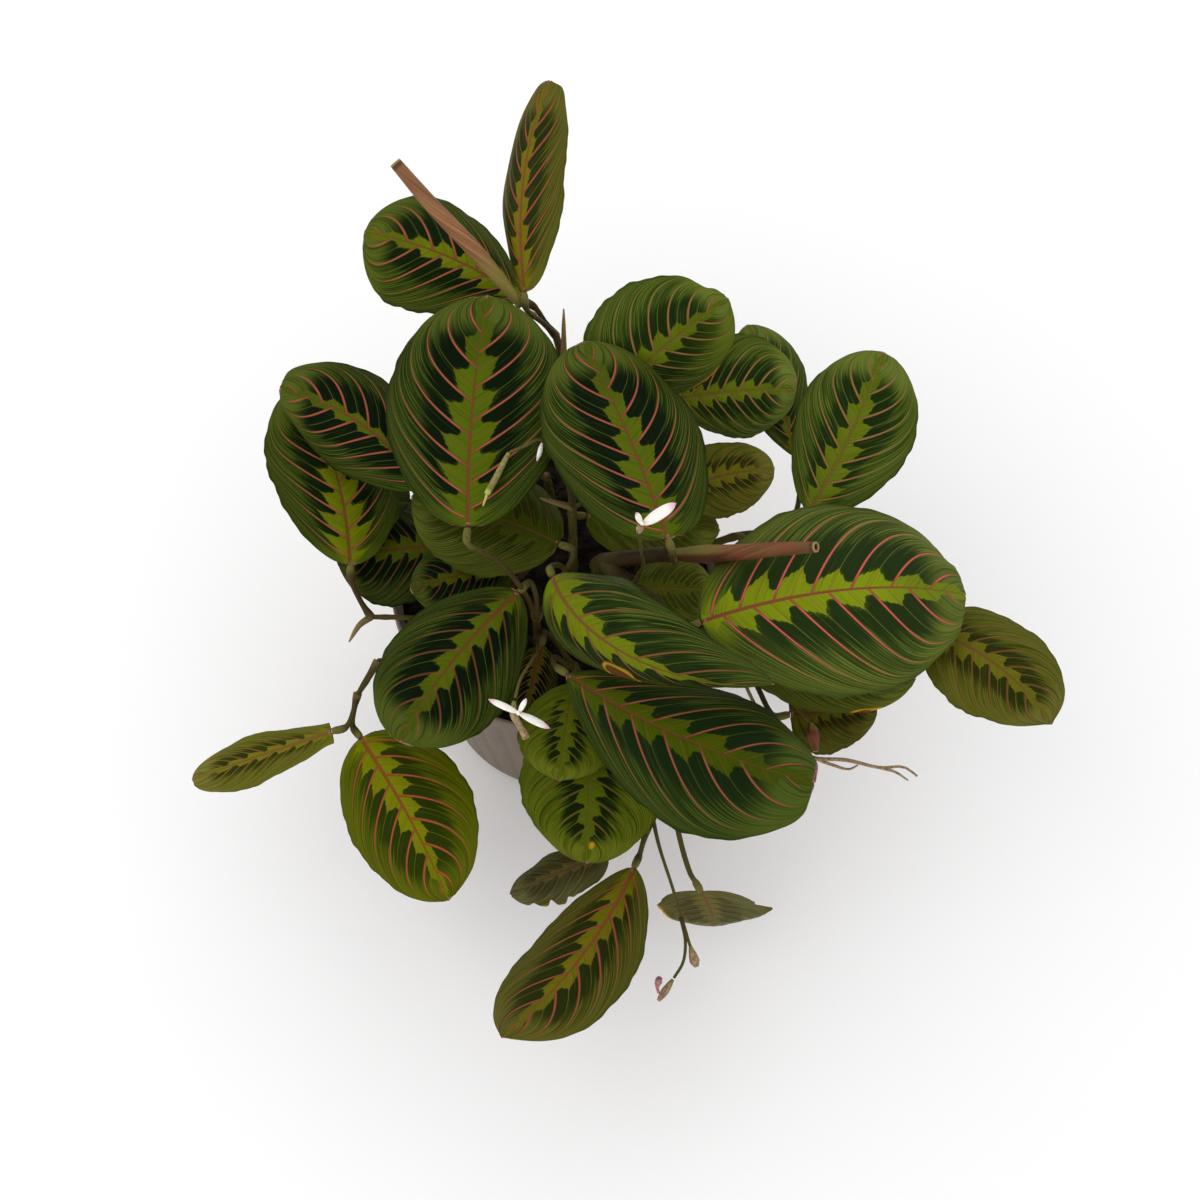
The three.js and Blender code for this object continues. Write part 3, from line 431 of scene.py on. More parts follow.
# Stems: creeping stems as thick as a pencil lead holder, swollen a little at each joint, with a
# smooth grey-olive skin. Leaf stalks rise from them and end in a swollen pale joint; papery
# sheath tips and thin flower stalks grow on some.
HOLE_FOOT = 82.3
COLLAR = SOIL_TOP + 3
STEM_RADIUS = 2.2
STEM_SIDES = 18
JOINT_SPACING = 24.0
STALK_RADIUS = 1.2
STALK_SIDES = 14
JOINT_RADIUS = 1.8
JOINT_LENGTH = 7.0
GAP = 0.3
BRACT_RADII = [1.7, 1.5, 1.2, 0.9, 0.35]
THREAD_RADII = [1.0, 0.75, 0.7, 0.7]
STEMS = {
    "stem_back": dict(hole=(8, 7), green=0.7,
        routes=[[(8, 7, 140), (8, 8, 170), (8, 22, 184), (6, 44, 184), (4, 72, 184), (0.5, 87, 185)]],
        bracts=[[(4, 70, 184), (4, 82, 189), (4, 94, 196)], [(8, 8, 171), (0, 9, 174), (-6, 10, 176)],
            [(-8.5, 85.9, 202.4), (-11.3, 86.5, 205), (-13.78, 87.8, 206.82)]],
        threads=[[(8, 8, 172), (7, 7, 186), (4, 10.3, 200), (-4.8, 20, 208.5), (-11.5, 17.6, 207.5),
            (-17.88, 15.44, 206.09)]]),
    "stem_centre_left": dict(hole=(-8, -30), routes=[[(-8, -30, 125), (-8, -30, 145)]],
        threads=[[(-8, -31, 128), (-7, -48, 144), (-9, -60, 160), (-13.6, -71.8, 166),
            (-15.6, -78.8, 163.5)]]),
    "stem_left_upper": dict(hole=(-2, 35), routes=[[(-2, 35, 125), (-4, 36, 150)]]),
    "stem_left_inner": dict(hole=(-20, -6), routes=[[(-20, -6, 118), (-20, -6, 128)]]),
    "stem_left": dict(hole=(-28, -25), thickness=0.65,
        routes=[[(-28, -25, 116), (-40, -25, 123), (-65, -24, 127), (-82, -24, 128)]],
        bracts=[[(-82, -24, 128), (-87, -27, 126), (-92, -33, 121)]]),
    "stem_front_left": dict(hole=(-24, -42), thickness=0.65,
        routes=[[(-24, -42, 116), (-36, -43, 123), (-55, -44, 128), (-78, -45, 127)],
            [(-77, -44.5, 127), (-83, -53, 123), (-88, -59.5, 119.5)]]),
    "stem_right": dict(hole=(20, -4), thickness=1.9, wine=0.75,
        routes=[[(20, -4, 125), (20, -6, 146), (30, -12, 161), (45, -15, 171), (52, -18, 178)],
            [(22, -8, 150), (28, -18, 158), (34, -25, 163)]],
        threads=[[(34, -25, 162), (38, -28, 185), (37, -31, 205), (36, -29.5, 218)]]),
    "stem_back_right": dict(hole=(22, 44), routes=[[(22, 44, 125), (24, 46, 142)]]),
    "stem_right_back": dict(hole=(38, 6),
        routes=[[(38, 6, 116), (48, 5, 128), (64, 6, 136), (82, 12, 137), (96, 14, 136)]]),
    "stem_right_low": dict(hole=(36, -22),
        routes=[[(36, -22, 116), (48, -28, 125), (70, -34, 128), (88, -38, 130)]],
        threads=[[(85, -51, 128), (97, -60, 133), (110.89, -77.82, 133.98)]]),
    "stem_centre_front": dict(hole=(8, -18), routes=[[(8, -18, 122), (7, -18, 140)]]),
    "stem_front": dict(hole=(8, -44), routes=[[(8, -44, 120), (7, -47, 128)]]),
    "stem_front_outer": dict(hole=(34, -44),
        routes=[[(34, -44, 116), (42, -56, 125), (51, -74, 124), (51, -92, 110), (43, -108, 97),
            (39, -114, 91)]],
        threads=[[(43, -107, 99), (46, -118, 91), (52, -134, 81), (57, -147, 70), (60, -155, 63)],
            [(56, -145, 72), (58, -154, 65), (57, -162, 60), (53, -168, 56)]]),
}


def route_curve(points, count):
    """count evenly spaced points of a smooth curve through the given ones.

    Each span is a cubic whose end slopes are weighted by the square roots of the distances to the
    points before and after it (a centripetal Catmull-Rom curve); the ends are mirrored outwards.
    """
    p = np.array(points, float)
    p = np.vstack([2 * p[0] - p[1], p, 2 * p[-1] - p[-2]])
    x0, x1, x2, x3 = p[:-3], p[1:-2], p[2:-1], p[3:]
    a, b, c = (np.sqrt(np.linalg.norm(v, axis=1))[:, None] for v in (x1 - x0, x2 - x1, x3 - x2))
    slope1 = ((x1 - x0) / a - (x2 - x0) / (a + b) + (x2 - x1) / b) * b
    slope2 = ((x2 - x1) / b - (x3 - x1) / (b + c) + (x3 - x2) / c) * b
    t = np.linspace(0, 1, 25)[:-1, None, None]
    spans = (x1 + slope1 * t + (3 * (x2 - x1) - 2 * slope1 - slope2) * t**2
             + (2 * (x1 - x2) + slope1 + slope2) * t**3)
    fine = np.vstack([spans.transpose(1, 0, 2).reshape(-1, 3), p[-2]])
    run = np.concatenate([[0], np.cumsum(np.linalg.norm(np.diff(fine, axis=0), axis=1))])
    even = np.linspace(0, run[-1], count)
    return np.stack([np.interp(even, run, fine[:, k]) for k in range(3)], -1), run[-1]


def swept(points, radius, sides, count):
    """A round tube along a smooth route. radius is a function of the share along it and of its length.

    Each ring is carried on from the one before by turning it with the route's direction.
    """
    centre, length = route_curve(points, count)
    along = np.gradient(centre, axis=0)
    along /= np.linalg.norm(along, axis=1, keepdims=True)
    side = np.cross(along[0], [0.31, 0.17, 0.94] if abs(along[0, 2]) < 0.9 else [1, 0, 0])
    rings = []
    for k in range(count):
        side = side - along[k] * (side @ along[k])
        side /= np.linalg.norm(side)
        rings.append(side)
    first = np.array(rings)
    second = np.cross(along, first)
    angle = 2 * np.pi * np.arange(sides) / sides
    share = np.linspace(0, 1, count)
    r = radius(share, length)[:, None, None]
    ring = np.cos(angle)[:, None] * first[:, None] + np.sin(angle)[:, None] * second[:, None]
    points = np.vstack([(centre[:, None] + r * ring).reshape(-1, 3), centre[0], centre[-1]])
    return points, tube_faces(count, sides), np.append(np.repeat(share, sides), [0, 1])


def gathered(parts):
    """Several (points, faces, values) bodies as one list of points, faces and values."""
    starts = np.cumsum([0] + [len(p) for p, _, _ in parts[:-1]])
    faces = [group + start for (_, groups, _), start in zip(parts, starts) for group in groups]
    return np.vstack([p for p, _, _ in parts]), faces, np.concatenate([v for _, _, v in parts])


def even_steps(radii):
    """A radius that runs smoothly through the listed values, spread evenly along the route."""
    return lambda share, length: np.interp(share, np.linspace(0, 1, len(radii)), radii)


def stem_radius(thickness):
    """A stem's radius: full, a little thinner at its end, with a low swelling at every joint."""
    def radius(share, length):
        past_joint = (share * length) % JOINT_SPACING - JOINT_SPACING / 2
        swelling = np.exp(-(past_joint / 1.8) ** 2)
        return STEM_RADIUS * thickness * (1 - 0.15 * share) * (0.93 + 0.14 * swelling)
    return radius


def stalk_radius(share, length):
    """A stalk's radius: wide at its sheathed foot, even, then swollen in the joint before the blade."""
    to_end = (1 - share) * length
    foot = 0.8 * np.exp(-(share * length / 5) ** 2)
    joint = (JOINT_RADIUS - STALK_RADIUS) * np.exp(-(((to_end - JOINT_LENGTH / 2) / 3.2) ** 4))
    return STALK_RADIUS + foot + joint


def blade_direction(leaf, s):
    """Unit vector of the midrib at share s: its pitch falls by the bend, its heading turns by the swing."""
    heading = np.radians(leaf["heading"] + leaf["swing"] * s)
    pitch = np.radians(leaf["pitch"] - leaf["bend"] * s)
    return np.stack([np.cos(pitch) * np.cos(heading), np.cos(pitch) * np.sin(heading), np.sin(pitch)], -1)


stem_skin, own = new_material("stem_skin", Roughness=0.55, Specular_IOR_Level=0.08)
patches = own.grain(46.0, 3.0).step(0.35, 0.68)
flecks = own.grain(650.0).step(0.56, 0.7)
skin = own.layers(linear(70, 65, 28), (patches, (62, 47, 24)), (own.attribute("joint"), (98, 94, 42)),
                  (own.attribute("papery"), (134, 112, 68)), (own.attribute("wine"), (46, 30, 16)),
                  (flecks * 0.4, (44, 36, 20)))
own.paint(skin, own.grain(420.0, 3.0), 0.0002, patches.step(0, 1, 0.44, 0.6))

for name, stem in STEMS.items():
    parts, masks = [], []
    for k, route in enumerate(stem["routes"]):
        if k == 0:
            route = [(*stem["hole"], HOLE_FOOT), (*stem["hole"], COLLAR), *route]
        parts.append(swept(route, stem_radius(stem.get("thickness", 1)), STEM_SIDES, 16 * len(route)))
        share = parts[-1][2]
        green = stem.get("green", 0) * np.clip(2.2 - 4 * share, 0, 1)
        masks.append([green, 0 * share, stem.get("wine", 0) * np.clip(5 * share - 3, 0, 1)])
    for route in stem.get("bracts", []):
        parts.append(swept(route, even_steps(BRACT_RADII), 12, 24))
        share = parts[-1][2]
        masks.append([0 * share, 0.4 + 0.6 * share, 0 * share])
    for route in stem.get("threads", []):
        parts.append(swept(route, even_steps(THREAD_RADII), 10, 14 * len(route)))
        share = parts[-1][2]
        masks.append([0.5 * share, 0 * share, 0 * share])
    for leaf in LEAVES.values():
        if leaf["on"] != name:
            continue
        along = blade_direction(leaf, 0.0)
        base = np.array(leaf["base"], float)
        route = [*leaf["stalk"], base - JOINT_LENGTH * along, base - GAP * along]
        parts.append(swept(route, stalk_radius, STALK_SIDES, 14 * len(route)))
        share = parts[-1][2]
        masks.append([np.clip((share - 0.82) / 0.1, 0, 1), 0.45 * np.clip(1 - share / 0.12, 0, 1), 0 * share])
    points, faces, _ = gathered(parts)
    joint, papery, wine = np.concatenate(masks, 1)
    new_piece("grown_" + name, name, "stem", points, faces, [stem_skin],
              joint=joint, papery=papery, wine=wine)

# Leaves: broad thin blades with a short pointed tip. A red-brown midrib and rose-red side veins
# cross a toothed lime band and dark blotches between them; the underside is dull purple-brown.
ROWS = 84
COLUMNS = 50
BLADE_THICKNESS = 0.45
MIDRIB_STEPS = 48
SIDE_VEINS = 7.6
QUILT = 0.32
RIB_HEIGHT = 0.9
RIB_SPREAD = 1.1
LEFT_LEAD = 0.42
VEIN_SLANT = 0.16
VEIN_CURVE = 0.14
SEED_STEP = 7.3


def half_width(leaf, s):
    """Half the width: a sine of s to a power that puts its peak at "widest", raised to a roundness.

    The roundness is 0.43 + 0.05 s, with "tip" added near the tip and "heel" near the stalk.
    """
    power = math.log(0.5) / math.log(leaf["widest"])
    roundness = 0.43 + 0.05 * s + leaf["tip"] * s**16 + leaf["heel"] * (1 - s)**16
    return leaf["width"] / 2 * np.maximum(0, np.sin(np.pi * s**power)) ** roundness


def blade_surface(leaf, s, t):
    """Points of the upper face at shares s along and t across, from the right edge (-1) to the left (+1).

    The midrib adds up its direction in even steps. Across it the blade is an arc whose edge hangs
    at the camber angle, tilted by roll and twist, with a wave that grows towards the edges.
    """
    steps = (np.arange(MIDRIB_STEPS) + 0.5) / MIDRIB_STEPS
    paces = blade_direction(leaf, steps) * leaf["length"] / MIDRIB_STEPS
    joints = np.array(leaf["base"], float) + np.vstack([np.zeros(3), np.cumsum(paces, 0)])
    ticks = np.linspace(0, 1, MIDRIB_STEPS + 1)
    midrib = np.stack([np.interp(s, ticks, joints[:, k]) for k in range(3)], -1)
    heading = np.radians(leaf["heading"] + leaf["swing"] * s)
    level = np.stack([-np.sin(heading), np.cos(heading), 0 * heading], -1)
    upright = np.cross(blade_direction(leaf, s), level)
    roll = np.radians(leaf["roll"] + leaf["twist"] * (s - 0.5))[..., None]
    side = np.cos(roll) * level + np.sin(roll) * upright
    up = np.cos(roll) * upright - np.sin(roll) * level
    half = half_width(leaf, s)
    camber = math.radians(leaf["camber"])
    turns = leaf["waves"] * s + leaf["heading"] / 90 + np.where(t > 0, 0.31, 0)
    wave = leaf["wave"] * t * t * np.sin(2 * np.pi * turns) * np.sin(np.pi * s)
    across = half * np.sin(camber * t) / camber
    rise = wave - half * (1 - np.cos(camber * t)) / camber
    return midrib + across[..., None] * side + rise[..., None] * up


def vein_rank(s, reach, count):
    """Counts side veins from the base: whole on a vein, so a vein is a curve of constant rank.

    A vein leaves the midrib at a slant and bends to the tip, further the nearer it comes to the edge:
    its start on the midrib is s less slant reach - curve log(1 - 0.95 reach), reach being 1 at the edge.
    """
    lag = VEIN_SLANT * reach - VEIN_CURVE * np.log(1 - 0.95 * reach)
    start = s - (1 - np.exp(-s / 0.25)) * lag
    return count * np.sign(start) * np.abs(start) ** 0.78


def uneven_edge(s, t, seed, notches):
    """Share by which an edge departs from its smooth outline: two sines along it, less the notches.

    Each side starts its sines elsewhere. A notch has its share along, its side, depth and spread.
    """
    start = 0.137 * seed + np.where(t > 0, 0.37, 0)
    slow = 0.012 * np.sin(2 * np.pi * (5.3 * s + start))
    change = slow + 0.007 * np.sin(2 * np.pi * (11.7 * s + 1.7 * start))
    for spot, side, depth, spread in notches:
        change = change - depth * np.exp(-(((s - spot) / spread) ** 2)) * (np.sign(t) == side)
    return change * np.sin(np.pi * s) ** 0.5


def steepness(points, value):
    """How fast value changes per mm over a grid of points, from its slopes along and across the grid."""
    along, across = np.gradient(points, axis=0), np.gradient(points, axis=1)
    v_along, v_across = np.gradient(value, axis=0), np.gradient(value, axis=1)
    e, f, g = ((a * b).sum(-1) for a, b in ((along, along), (along, across), (across, across)))
    area = np.maximum(e * g - f * f, 1e-6)
    return np.sqrt(np.maximum(g * v_along**2 - 2 * f * v_along * v_across + e * v_across**2, 0) / area)


def sheet(upper, lower):
    """A closed sheet between two grids: its points, and quads of the upper, the lower and the border."""
    rows, columns = upper.shape[:2]
    index = np.arange(rows * columns).reshape(rows, columns)
    top = np.stack([index[:-1, :-1], index[1:, :-1], index[1:, 1:], index[:-1, 1:]], -1).reshape(-1, 4)
    border = np.concatenate([index[:, 0], index[-1, 1:], index[-2::-1, -1], index[0, -2:0:-1]])
    ahead = np.roll(border, -1)
    edge = np.stack([border, border + index.size, ahead + index.size, ahead], -1)
    points = np.concatenate([upper.reshape(-1, 3), lower.reshape(-1, 3)])
    return points, [top, top[:, ::-1] + index.size, edge]


def on_both(**grids):
    """Values over a grid, repeated for both faces of a sheet."""
    return {key: np.tile(values.ravel(), 2) for key, values in grids.items()}


def surface_normals(points):
    """Unit normals of a grid: its slope along crossed with its slope across."""
    normal = np.cross(np.gradient(points, axis=0), np.gradient(points, axis=1))
    return normal / np.maximum(np.linalg.norm(normal, axis=-1, keepdims=True), 1e-9)


# The pattern of a blade's upper face. It is drawn from where a point lies along and across the blade
# and from its vein rank, whose whole numbers are the side veins, so a cell is what lies between two.
LEAF_COLOURS = ("Band", "Blotch", "Field", "Margin", "Streak", "Vein", "Rib")
LEAF_NUMBERS = {"Light Tip": 0.8, "Band Reach": 0.25, "Blotches": 1.0, "Blotch Reach": 0.55, "Lines": 0.85,
                "Veins": 1.0}
LINES_PER_CELL = 7.0
leaf_pattern = bpy.data.node_groups.new("leaf_pattern", "ShaderNodeTree")
for key in LEAF_COLOURS:
    leaf_pattern.interface.new_socket(key, in_out="INPUT", socket_type="NodeSocketColor")
for key in LEAF_NUMBERS:
    leaf_pattern.interface.new_socket(key, in_out="INPUT", socket_type="NodeSocketFloat")
leaf_pattern.interface.new_socket("Color", in_out="OUTPUT", socket_type="NodeSocketColor")
leaf_pattern.interface.new_socket("Height", in_out="OUTPUT", socket_type="NodeSocketFloat")
entry = leaf_pattern.nodes.new("NodeGroupInput").outputs
result = leaf_pattern.nodes.new("NodeGroupOutput").inputs
wiring = Wiring(leaf_pattern)
given = {key: Signal(wiring, entry[key]) for key in (*LEAF_COLOURS, *LEAF_NUMBERS)}


def over(base, *layers):
    """A base colour with the group's named colours laid over it in turn, each as far as its mask says."""
    for mask, key in layers:
        base = wiring.mix(mask, base, given[key])
    return base


along = wiring.attribute("along")
across = wiring.attribute("across")
seed = wiring.attribute("seed")
vein_mm = wiring.attribute("vein_mm")
on_left = across > 0.0
from_rib = abs(across)
left_share = wiring.attribute("rank_left") * on_left
right_share = wiring.attribute("rank_right") * (1.0 - on_left)
rank = left_share + right_share
in_cell = rank.fract()
own_side = on_left * 37.0
side_seed = own_side + seed
cell_place = wiring.vector(rank.floor(), own_side, seed)
chance = wiring.add("ShaderNodeTexWhiteNoise", {"Vector": cell_place}, noise_dimensions="3D")
thread_place = wiring.vector(rank * 11.0, from_rib * 0.9, side_seed)
threads = wiring.noise(thread_place, 1.0, 1.5)
fine_place = wiring.vector(rank * 26.0, from_rib * 1.2, side_seed)
fine = wiring.noise(fine_place, 1.0, 1.0)
cloud = wiring.grain(55.0)

# Fine pale lines beside the side veins. Each has its own place in its strip of the cell, and shows
# over some stretches only, over more of them near the edge.
line_rank = rank * LINES_PER_CELL
line_number = line_rank.floor()
line_chance = wiring.add("ShaderNodeTexWhiteNoise", {"Vector": wiring.vector(line_number, own_side, seed)},
                         noise_dimensions="3D")
line_centre = line_chance.step(0, 1, 0.3, 0.7)
off_line = abs(line_rank.fract() - line_centre)
strip_mm = vein_mm / LINES_PER_CELL
line_half = (0.19 / strip_mm).least(0.16)
stretch_place = wiring.vector(line_number * 5.3, from_rib * 2.0, side_seed)
stretch = wiring.noise(stretch_place, 1.0, 1.0) + from_rib.step(0.3, 0.85, -0.1, 0.07)
line = (off_line / line_half).step(1.4, 0.6) * stretch.step(0.43, 0.58)
line = line * (given["Lines"] * from_rib.step(1.0, 0.94))

# The band's edge in one cell between two side veins: it widens from the lower vein in small steps
# to a pointed tooth, then is cut back to a deep notch before the upper one.
tooth = wiring.node("ShaderNodeFloatCurve", {"Value": in_cell})
tooth_points = [(0, 0.5), (0.1, 0.64), (0.13, 0.58), (0.22, 0.75), (0.26, 0.69), (0.33, 0.83), (0.36, 0.78),
                (0.46, 1.0), (0.485, 0.83), (0.56, 0.68), (0.62, 0.64), (0.74, 0.38), (0.86, 0.31), (1, 0.32)]
curve = tooth.mapping.curves[0]
curve.points[0].location = tooth_points[0]
curve.points[1].location = tooth_points[-1]
for spot in tooth_points[1:-1]:
    curve.points.new(*spot)
for spot in curve.points:
    spot.handle_type = "VECTOR"
tooth.mapping.update()
tooth_reach = Signal(wiring, tooth.outputs[0]) * chance.step(0, 1, 1.06, 1.4)
ends = along.step(0.1, 0.45, 1.7, 0.92) * along.step(0.4, 0.85, 1.0, 0.66)
own_reach = given["Band Reach"] * wiring.attribute("band")
band_reach = own_reach * tooth_reach * ends
steps = (line_rank.fract() - 0.5) * in_cell.step(0.5, 0.44, 0, -0.016)
past_band = from_rib - band_reach + steps
band = past_band.step(0.008, -0.006)

# Ground colours: mid green, then the paler margin, darkened and lightened by threads.
edge_share = (from_rib + cloud * 0.3).step(0.55, 1.15)
light_base = along.step(0.13, 0.05, 0.0, 0.75) * from_rib.step(0.3, 0.7, 1.0, 0.4)
light_tip = along.step(0.74, 0.93) * given["Light Tip"]
ground = over(given["Field"], (edge_share, "Margin"), (light_base, "Band"), (light_tip, "Streak"),
              (threads.step(0.5, 0.36) * 0.6, "Blotch"), (fine.step(0.52, 0.62) * 0.3, "Streak"))

# Blotches: one dark patch between each two side veins, torn into threads at its outer end.
blotch_end = given["Blotch Reach"] * chance.step(0, 1, 0.9, 1.12) + (threads - 0.5) * 0.6
blotch = (from_rib - blotch_end).step(0.07, -0.07)
clear = from_rib.step(0.3, 0.75, 0.01, 0.13)
beside_vein = in_cell.least(1.0 - in_cell)
blotch = blotch * (beside_vein / clear).step(0.6, 1.4)
blotch = blotch * (rank.step(0.9, 2.0) * along.step(0.9, 0.78))
blotch = blotch * given["Blotches"]
colour = over(ground, (blotch, "Blotch"), (wiring.attribute("lime"), "Band"),
              (line * (1.0 - blotch * 0.85), "Streak"))

# Lime band with darker fine lines in it, dull towards the tip. A veinlet runs on from each tooth.
banded = over(given["Band"], (fine.step(0.5, 0.34) * 0.3, "Field"), (line * 0.3, "Margin"),
              (fine.step(0.55, 0.64) * 0.3, "Streak"), (along.step(0.6, 0.8, 0.0, 0.35), "Margin"))
off_veinlet = abs(in_cell - 0.46) * vein_mm
veinlet = off_veinlet.step(0.24, 0.08) * from_rib.step(0.7, 0.42)
veinlet = veinlet * rank.step(1.4, 2.6)
colour = over(wiring.mix(band, colour, banded), (veinlet * ((1.0 - band) * 0.6), "Streak"),
              (veinlet * (band * 0.8), "Rib"))

# Side veins: rose-red with browner flanks, browner near the midrib too, thinner where they crowd
# at the tip, and lost before the edge.
off_vein = beside_vein * vein_mm
vein_half = from_rib.step(0.1, 1.0, 0.56, 0.24) * vein_mm.step(2.0, 9.0, 0.45, 1.0)
vein_off = off_vein / vein_half
vein = vein_off.step(1.2, 0.7)
vein = vein * (rank.step(0.35, 0.6) * from_rib.step(0.99, 0.84))
vein = vein * (given["Veins"] * along.step(0.99, 0.9))
core = vein_off.step(0.9, 0.3) * from_rib.step(0.03, 0.2)
vein_colour = over(given["Rib"], (core.step(0, 1, 0.25, 1.0), "Vein"),
                   (from_rib.step(0.55, 0.9, 0.0, 0.6), "Streak"))
colour = wiring.mix(vein, colour, vein_colour)
rib_mm = abs(wiring.attribute("rib_mm"))
rib_half = along.step(0.0, 1.0, 0.85, 0.25)
rib = (rib_mm / rib_half).step(1.2, 0.6)
rib_colour = over(given["Rib"], (along.step(0.6, 1.0, 0.0, 0.7), "Streak"))
colour = wiring.mix(rib, colour, rib_colour)

# Scorch: dried edges and spots, yellow and then brown where strongest, with a ragged outline.
scorch = wiring.attribute("scorch")
scorch = scorch * cloud.step(0.35, 0.65, 0.75, 1.25)
colour = wiring.layers(colour, (scorch.step(0.3, 0.48), (176, 132, 30)),
                       (scorch.step(0.5, 0.62), (92, 58, 28)))
# Each leaf's colour is multiplied by its brightness. This is partly the leaf's own tone and partly painted
# light and shade, which sets how brightly lit each leaf looks.
shade = wiring.attribute("shade")
colour = wiring.mix(1.0, colour, wiring.vector(shade, shade, shade), mode="MULTIPLY")
wiring.feed(result["Color"], colour)

# Height, in mm: each cell swells between its veins, and vein and midrib lie in grooves.
height = (in_cell * math.pi).sine() * 0.2 * from_rib.step(1.0, 0.7)
height = height - rib.most(vein) * 0.25
height = height + threads * 0.14
wiring.feed(result["Height"], height)

# The upper face of each kind of leaf: the numbers in which its pattern differs from the usual, then
# its display colours in the order of LEAF_COLOURS. All have the same satin wax skin.
DEEP = ((78, 93, 3), (6, 19, 2), (30, 45, 6), (30, 42, 6), (80, 92, 28), (152, 78, 62), (106, 64, 32))
KINDS = {
    "bright": ({"Light Tip": 0.5, "Blotches": 0.94},
      (122, 137, 12), (29, 44, 14), (46, 61, 17), (58, 70, 22), (106, 117, 46), (190, 88, 80), (128, 70, 44)),
    "deep": ({}, *DEEP),
    "quiet": ({"Veins": 0.35}, *DEEP),
    "limed": ({},
        (102, 112, 2), (10, 25, 2), (36, 50, 6), (42, 53, 7), (82, 94, 26), (150, 80, 60), (106, 70, 32)),
    "mellow": ({"Blotches": 0.88},
        (68, 80, 1), (17, 33, 9), (30, 44, 7), (36, 48, 8), (74, 88, 28), (140, 78, 58), (98, 64, 30)),
    "golden": ({"Blotches": 0.9, "Light Tip": 0.3, "Blotch Reach": 0.5},
        (116, 122, 0), (34, 46, 0), (60, 70, 0), (80, 85, 3), (98, 104, 10), (156, 78, 50), (128, 74, 32)),
    "amber": ({"Blotches": 0.85, "Veins": 0.85, "Light Tip": 0.5, "Blotch Reach": 0.52},
      (106, 102, 10), (28, 37, 8), (54, 58, 10), (70, 72, 18), (104, 100, 38), (150, 76, 56), (124, 70, 36)),
    "olive": ({"Blotches": 0.85, "Veins": 0.6, "Blotch Reach": 0.4},
        (100, 100, 10), (30, 36, 3), (72, 75, 7), (82, 83, 15), (108, 106, 44), (124, 80, 46), (108, 76, 38)),
    "fresh": ({"Blotches": 0.88, "Blotch Reach": 0.5},
        (92, 106, 10), (19, 34, 7), (44, 62, 10), (50, 64, 13), (100, 114, 42), (136, 98, 58), (104, 88, 34)),
    "pale": ({"Lines": 1.0, "Blotch Reach": 0.36, "Veins": 0.6},
        (74, 86, 2), (14, 27, 0), (68, 80, 2), (70, 80, 6), (100, 108, 24), (104, 86, 30), (88, 86, 20)),
    "plain": ({"Blotches": 0.3, "Lines": 1.0, "Veins": 0.5},
        (62, 73, 8), (18, 28, 1), (54, 62, 8), (58, 65, 10), (92, 98, 34), (98, 78, 36), (84, 72, 28)),
    "grey": ({"Blotches": 0.5, "Veins": 0.6},
        (86, 82, 36), (34, 36, 16), (68, 68, 32), (72, 72, 34), (104, 102, 62), (100, 68, 46), (92, 66, 42)),
    "striped": ({"Blotches": 0.68, "Veins": 0.8, "Blotch Reach": 0.5, "Light Tip": 0.2},
        (108, 120, 6), (14, 32, 6), (34, 50, 8), (24, 37, 5), (94, 108, 40), (130, 82, 52), (116, 78, 38)),
}
upper_skins = {}
for kind, (numbers, *colours) in KINDS.items():
    upper_skins[kind], own = new_material("leaf_" + kind, Roughness=0.5, Specular_IOR_Level=0.03)
    inputs = {**LEAF_NUMBERS, **numbers, **{key: linear(*c) for key, c in zip(LEAF_COLOURS, colours)}}
    colour, height = own.node("ShaderNodeGroup", inputs, node_tree=leaf_pattern).outputs
    wax = own.grain(300.0, 3.0).step(0.3, 0.7, 0.42, 0.58)
    own.paint(Signal(own, colour), Signal(own, height), 0.001, wax)

# The underside: dull purple-brown with fine lines beside the veins, and raised pale veins.
purple_back, own = new_material("leaf_underside", Roughness=0.6, Specular_IOR_Level=0.3)
across = own.attribute("across")
left = across > 0.0
rank = own.attribute("rank_left") * left + own.attribute("rank_right") * (1.0 - left)
in_cell = rank.fract()
veins = (in_cell.least(1.0 - in_cell) * own.attribute("vein_mm")).step(0.8, 0.3)
veins = veins.most(abs(own.attribute("rib_mm")).step(1.4, 0.7))
lines = own.noise(own.vector(rank * 22.0, across, 0.0), 1.0)
back = own.layers(linear(104, 66, 60), (lines.step(0.35, 0.65, 0.0, 0.5), (84, 74, 48)),
                  (veins * 0.7, (150, 104, 84)))
own.paint(back, veins, 0.0005)


def spotted(s, t, spots):
    """A mask of soft spots, each a bell curve of the distances along and across, times its strength."""
    mask = 0 * s
    for spot_s, spot_t, spread_s, spread_t, strength in spots:
        near = np.exp(-(((s - spot_s) / spread_s) ** 2) - ((t - spot_t) / spread_t) ** 2)
        mask = np.maximum(mask, strength * near)
    return mask


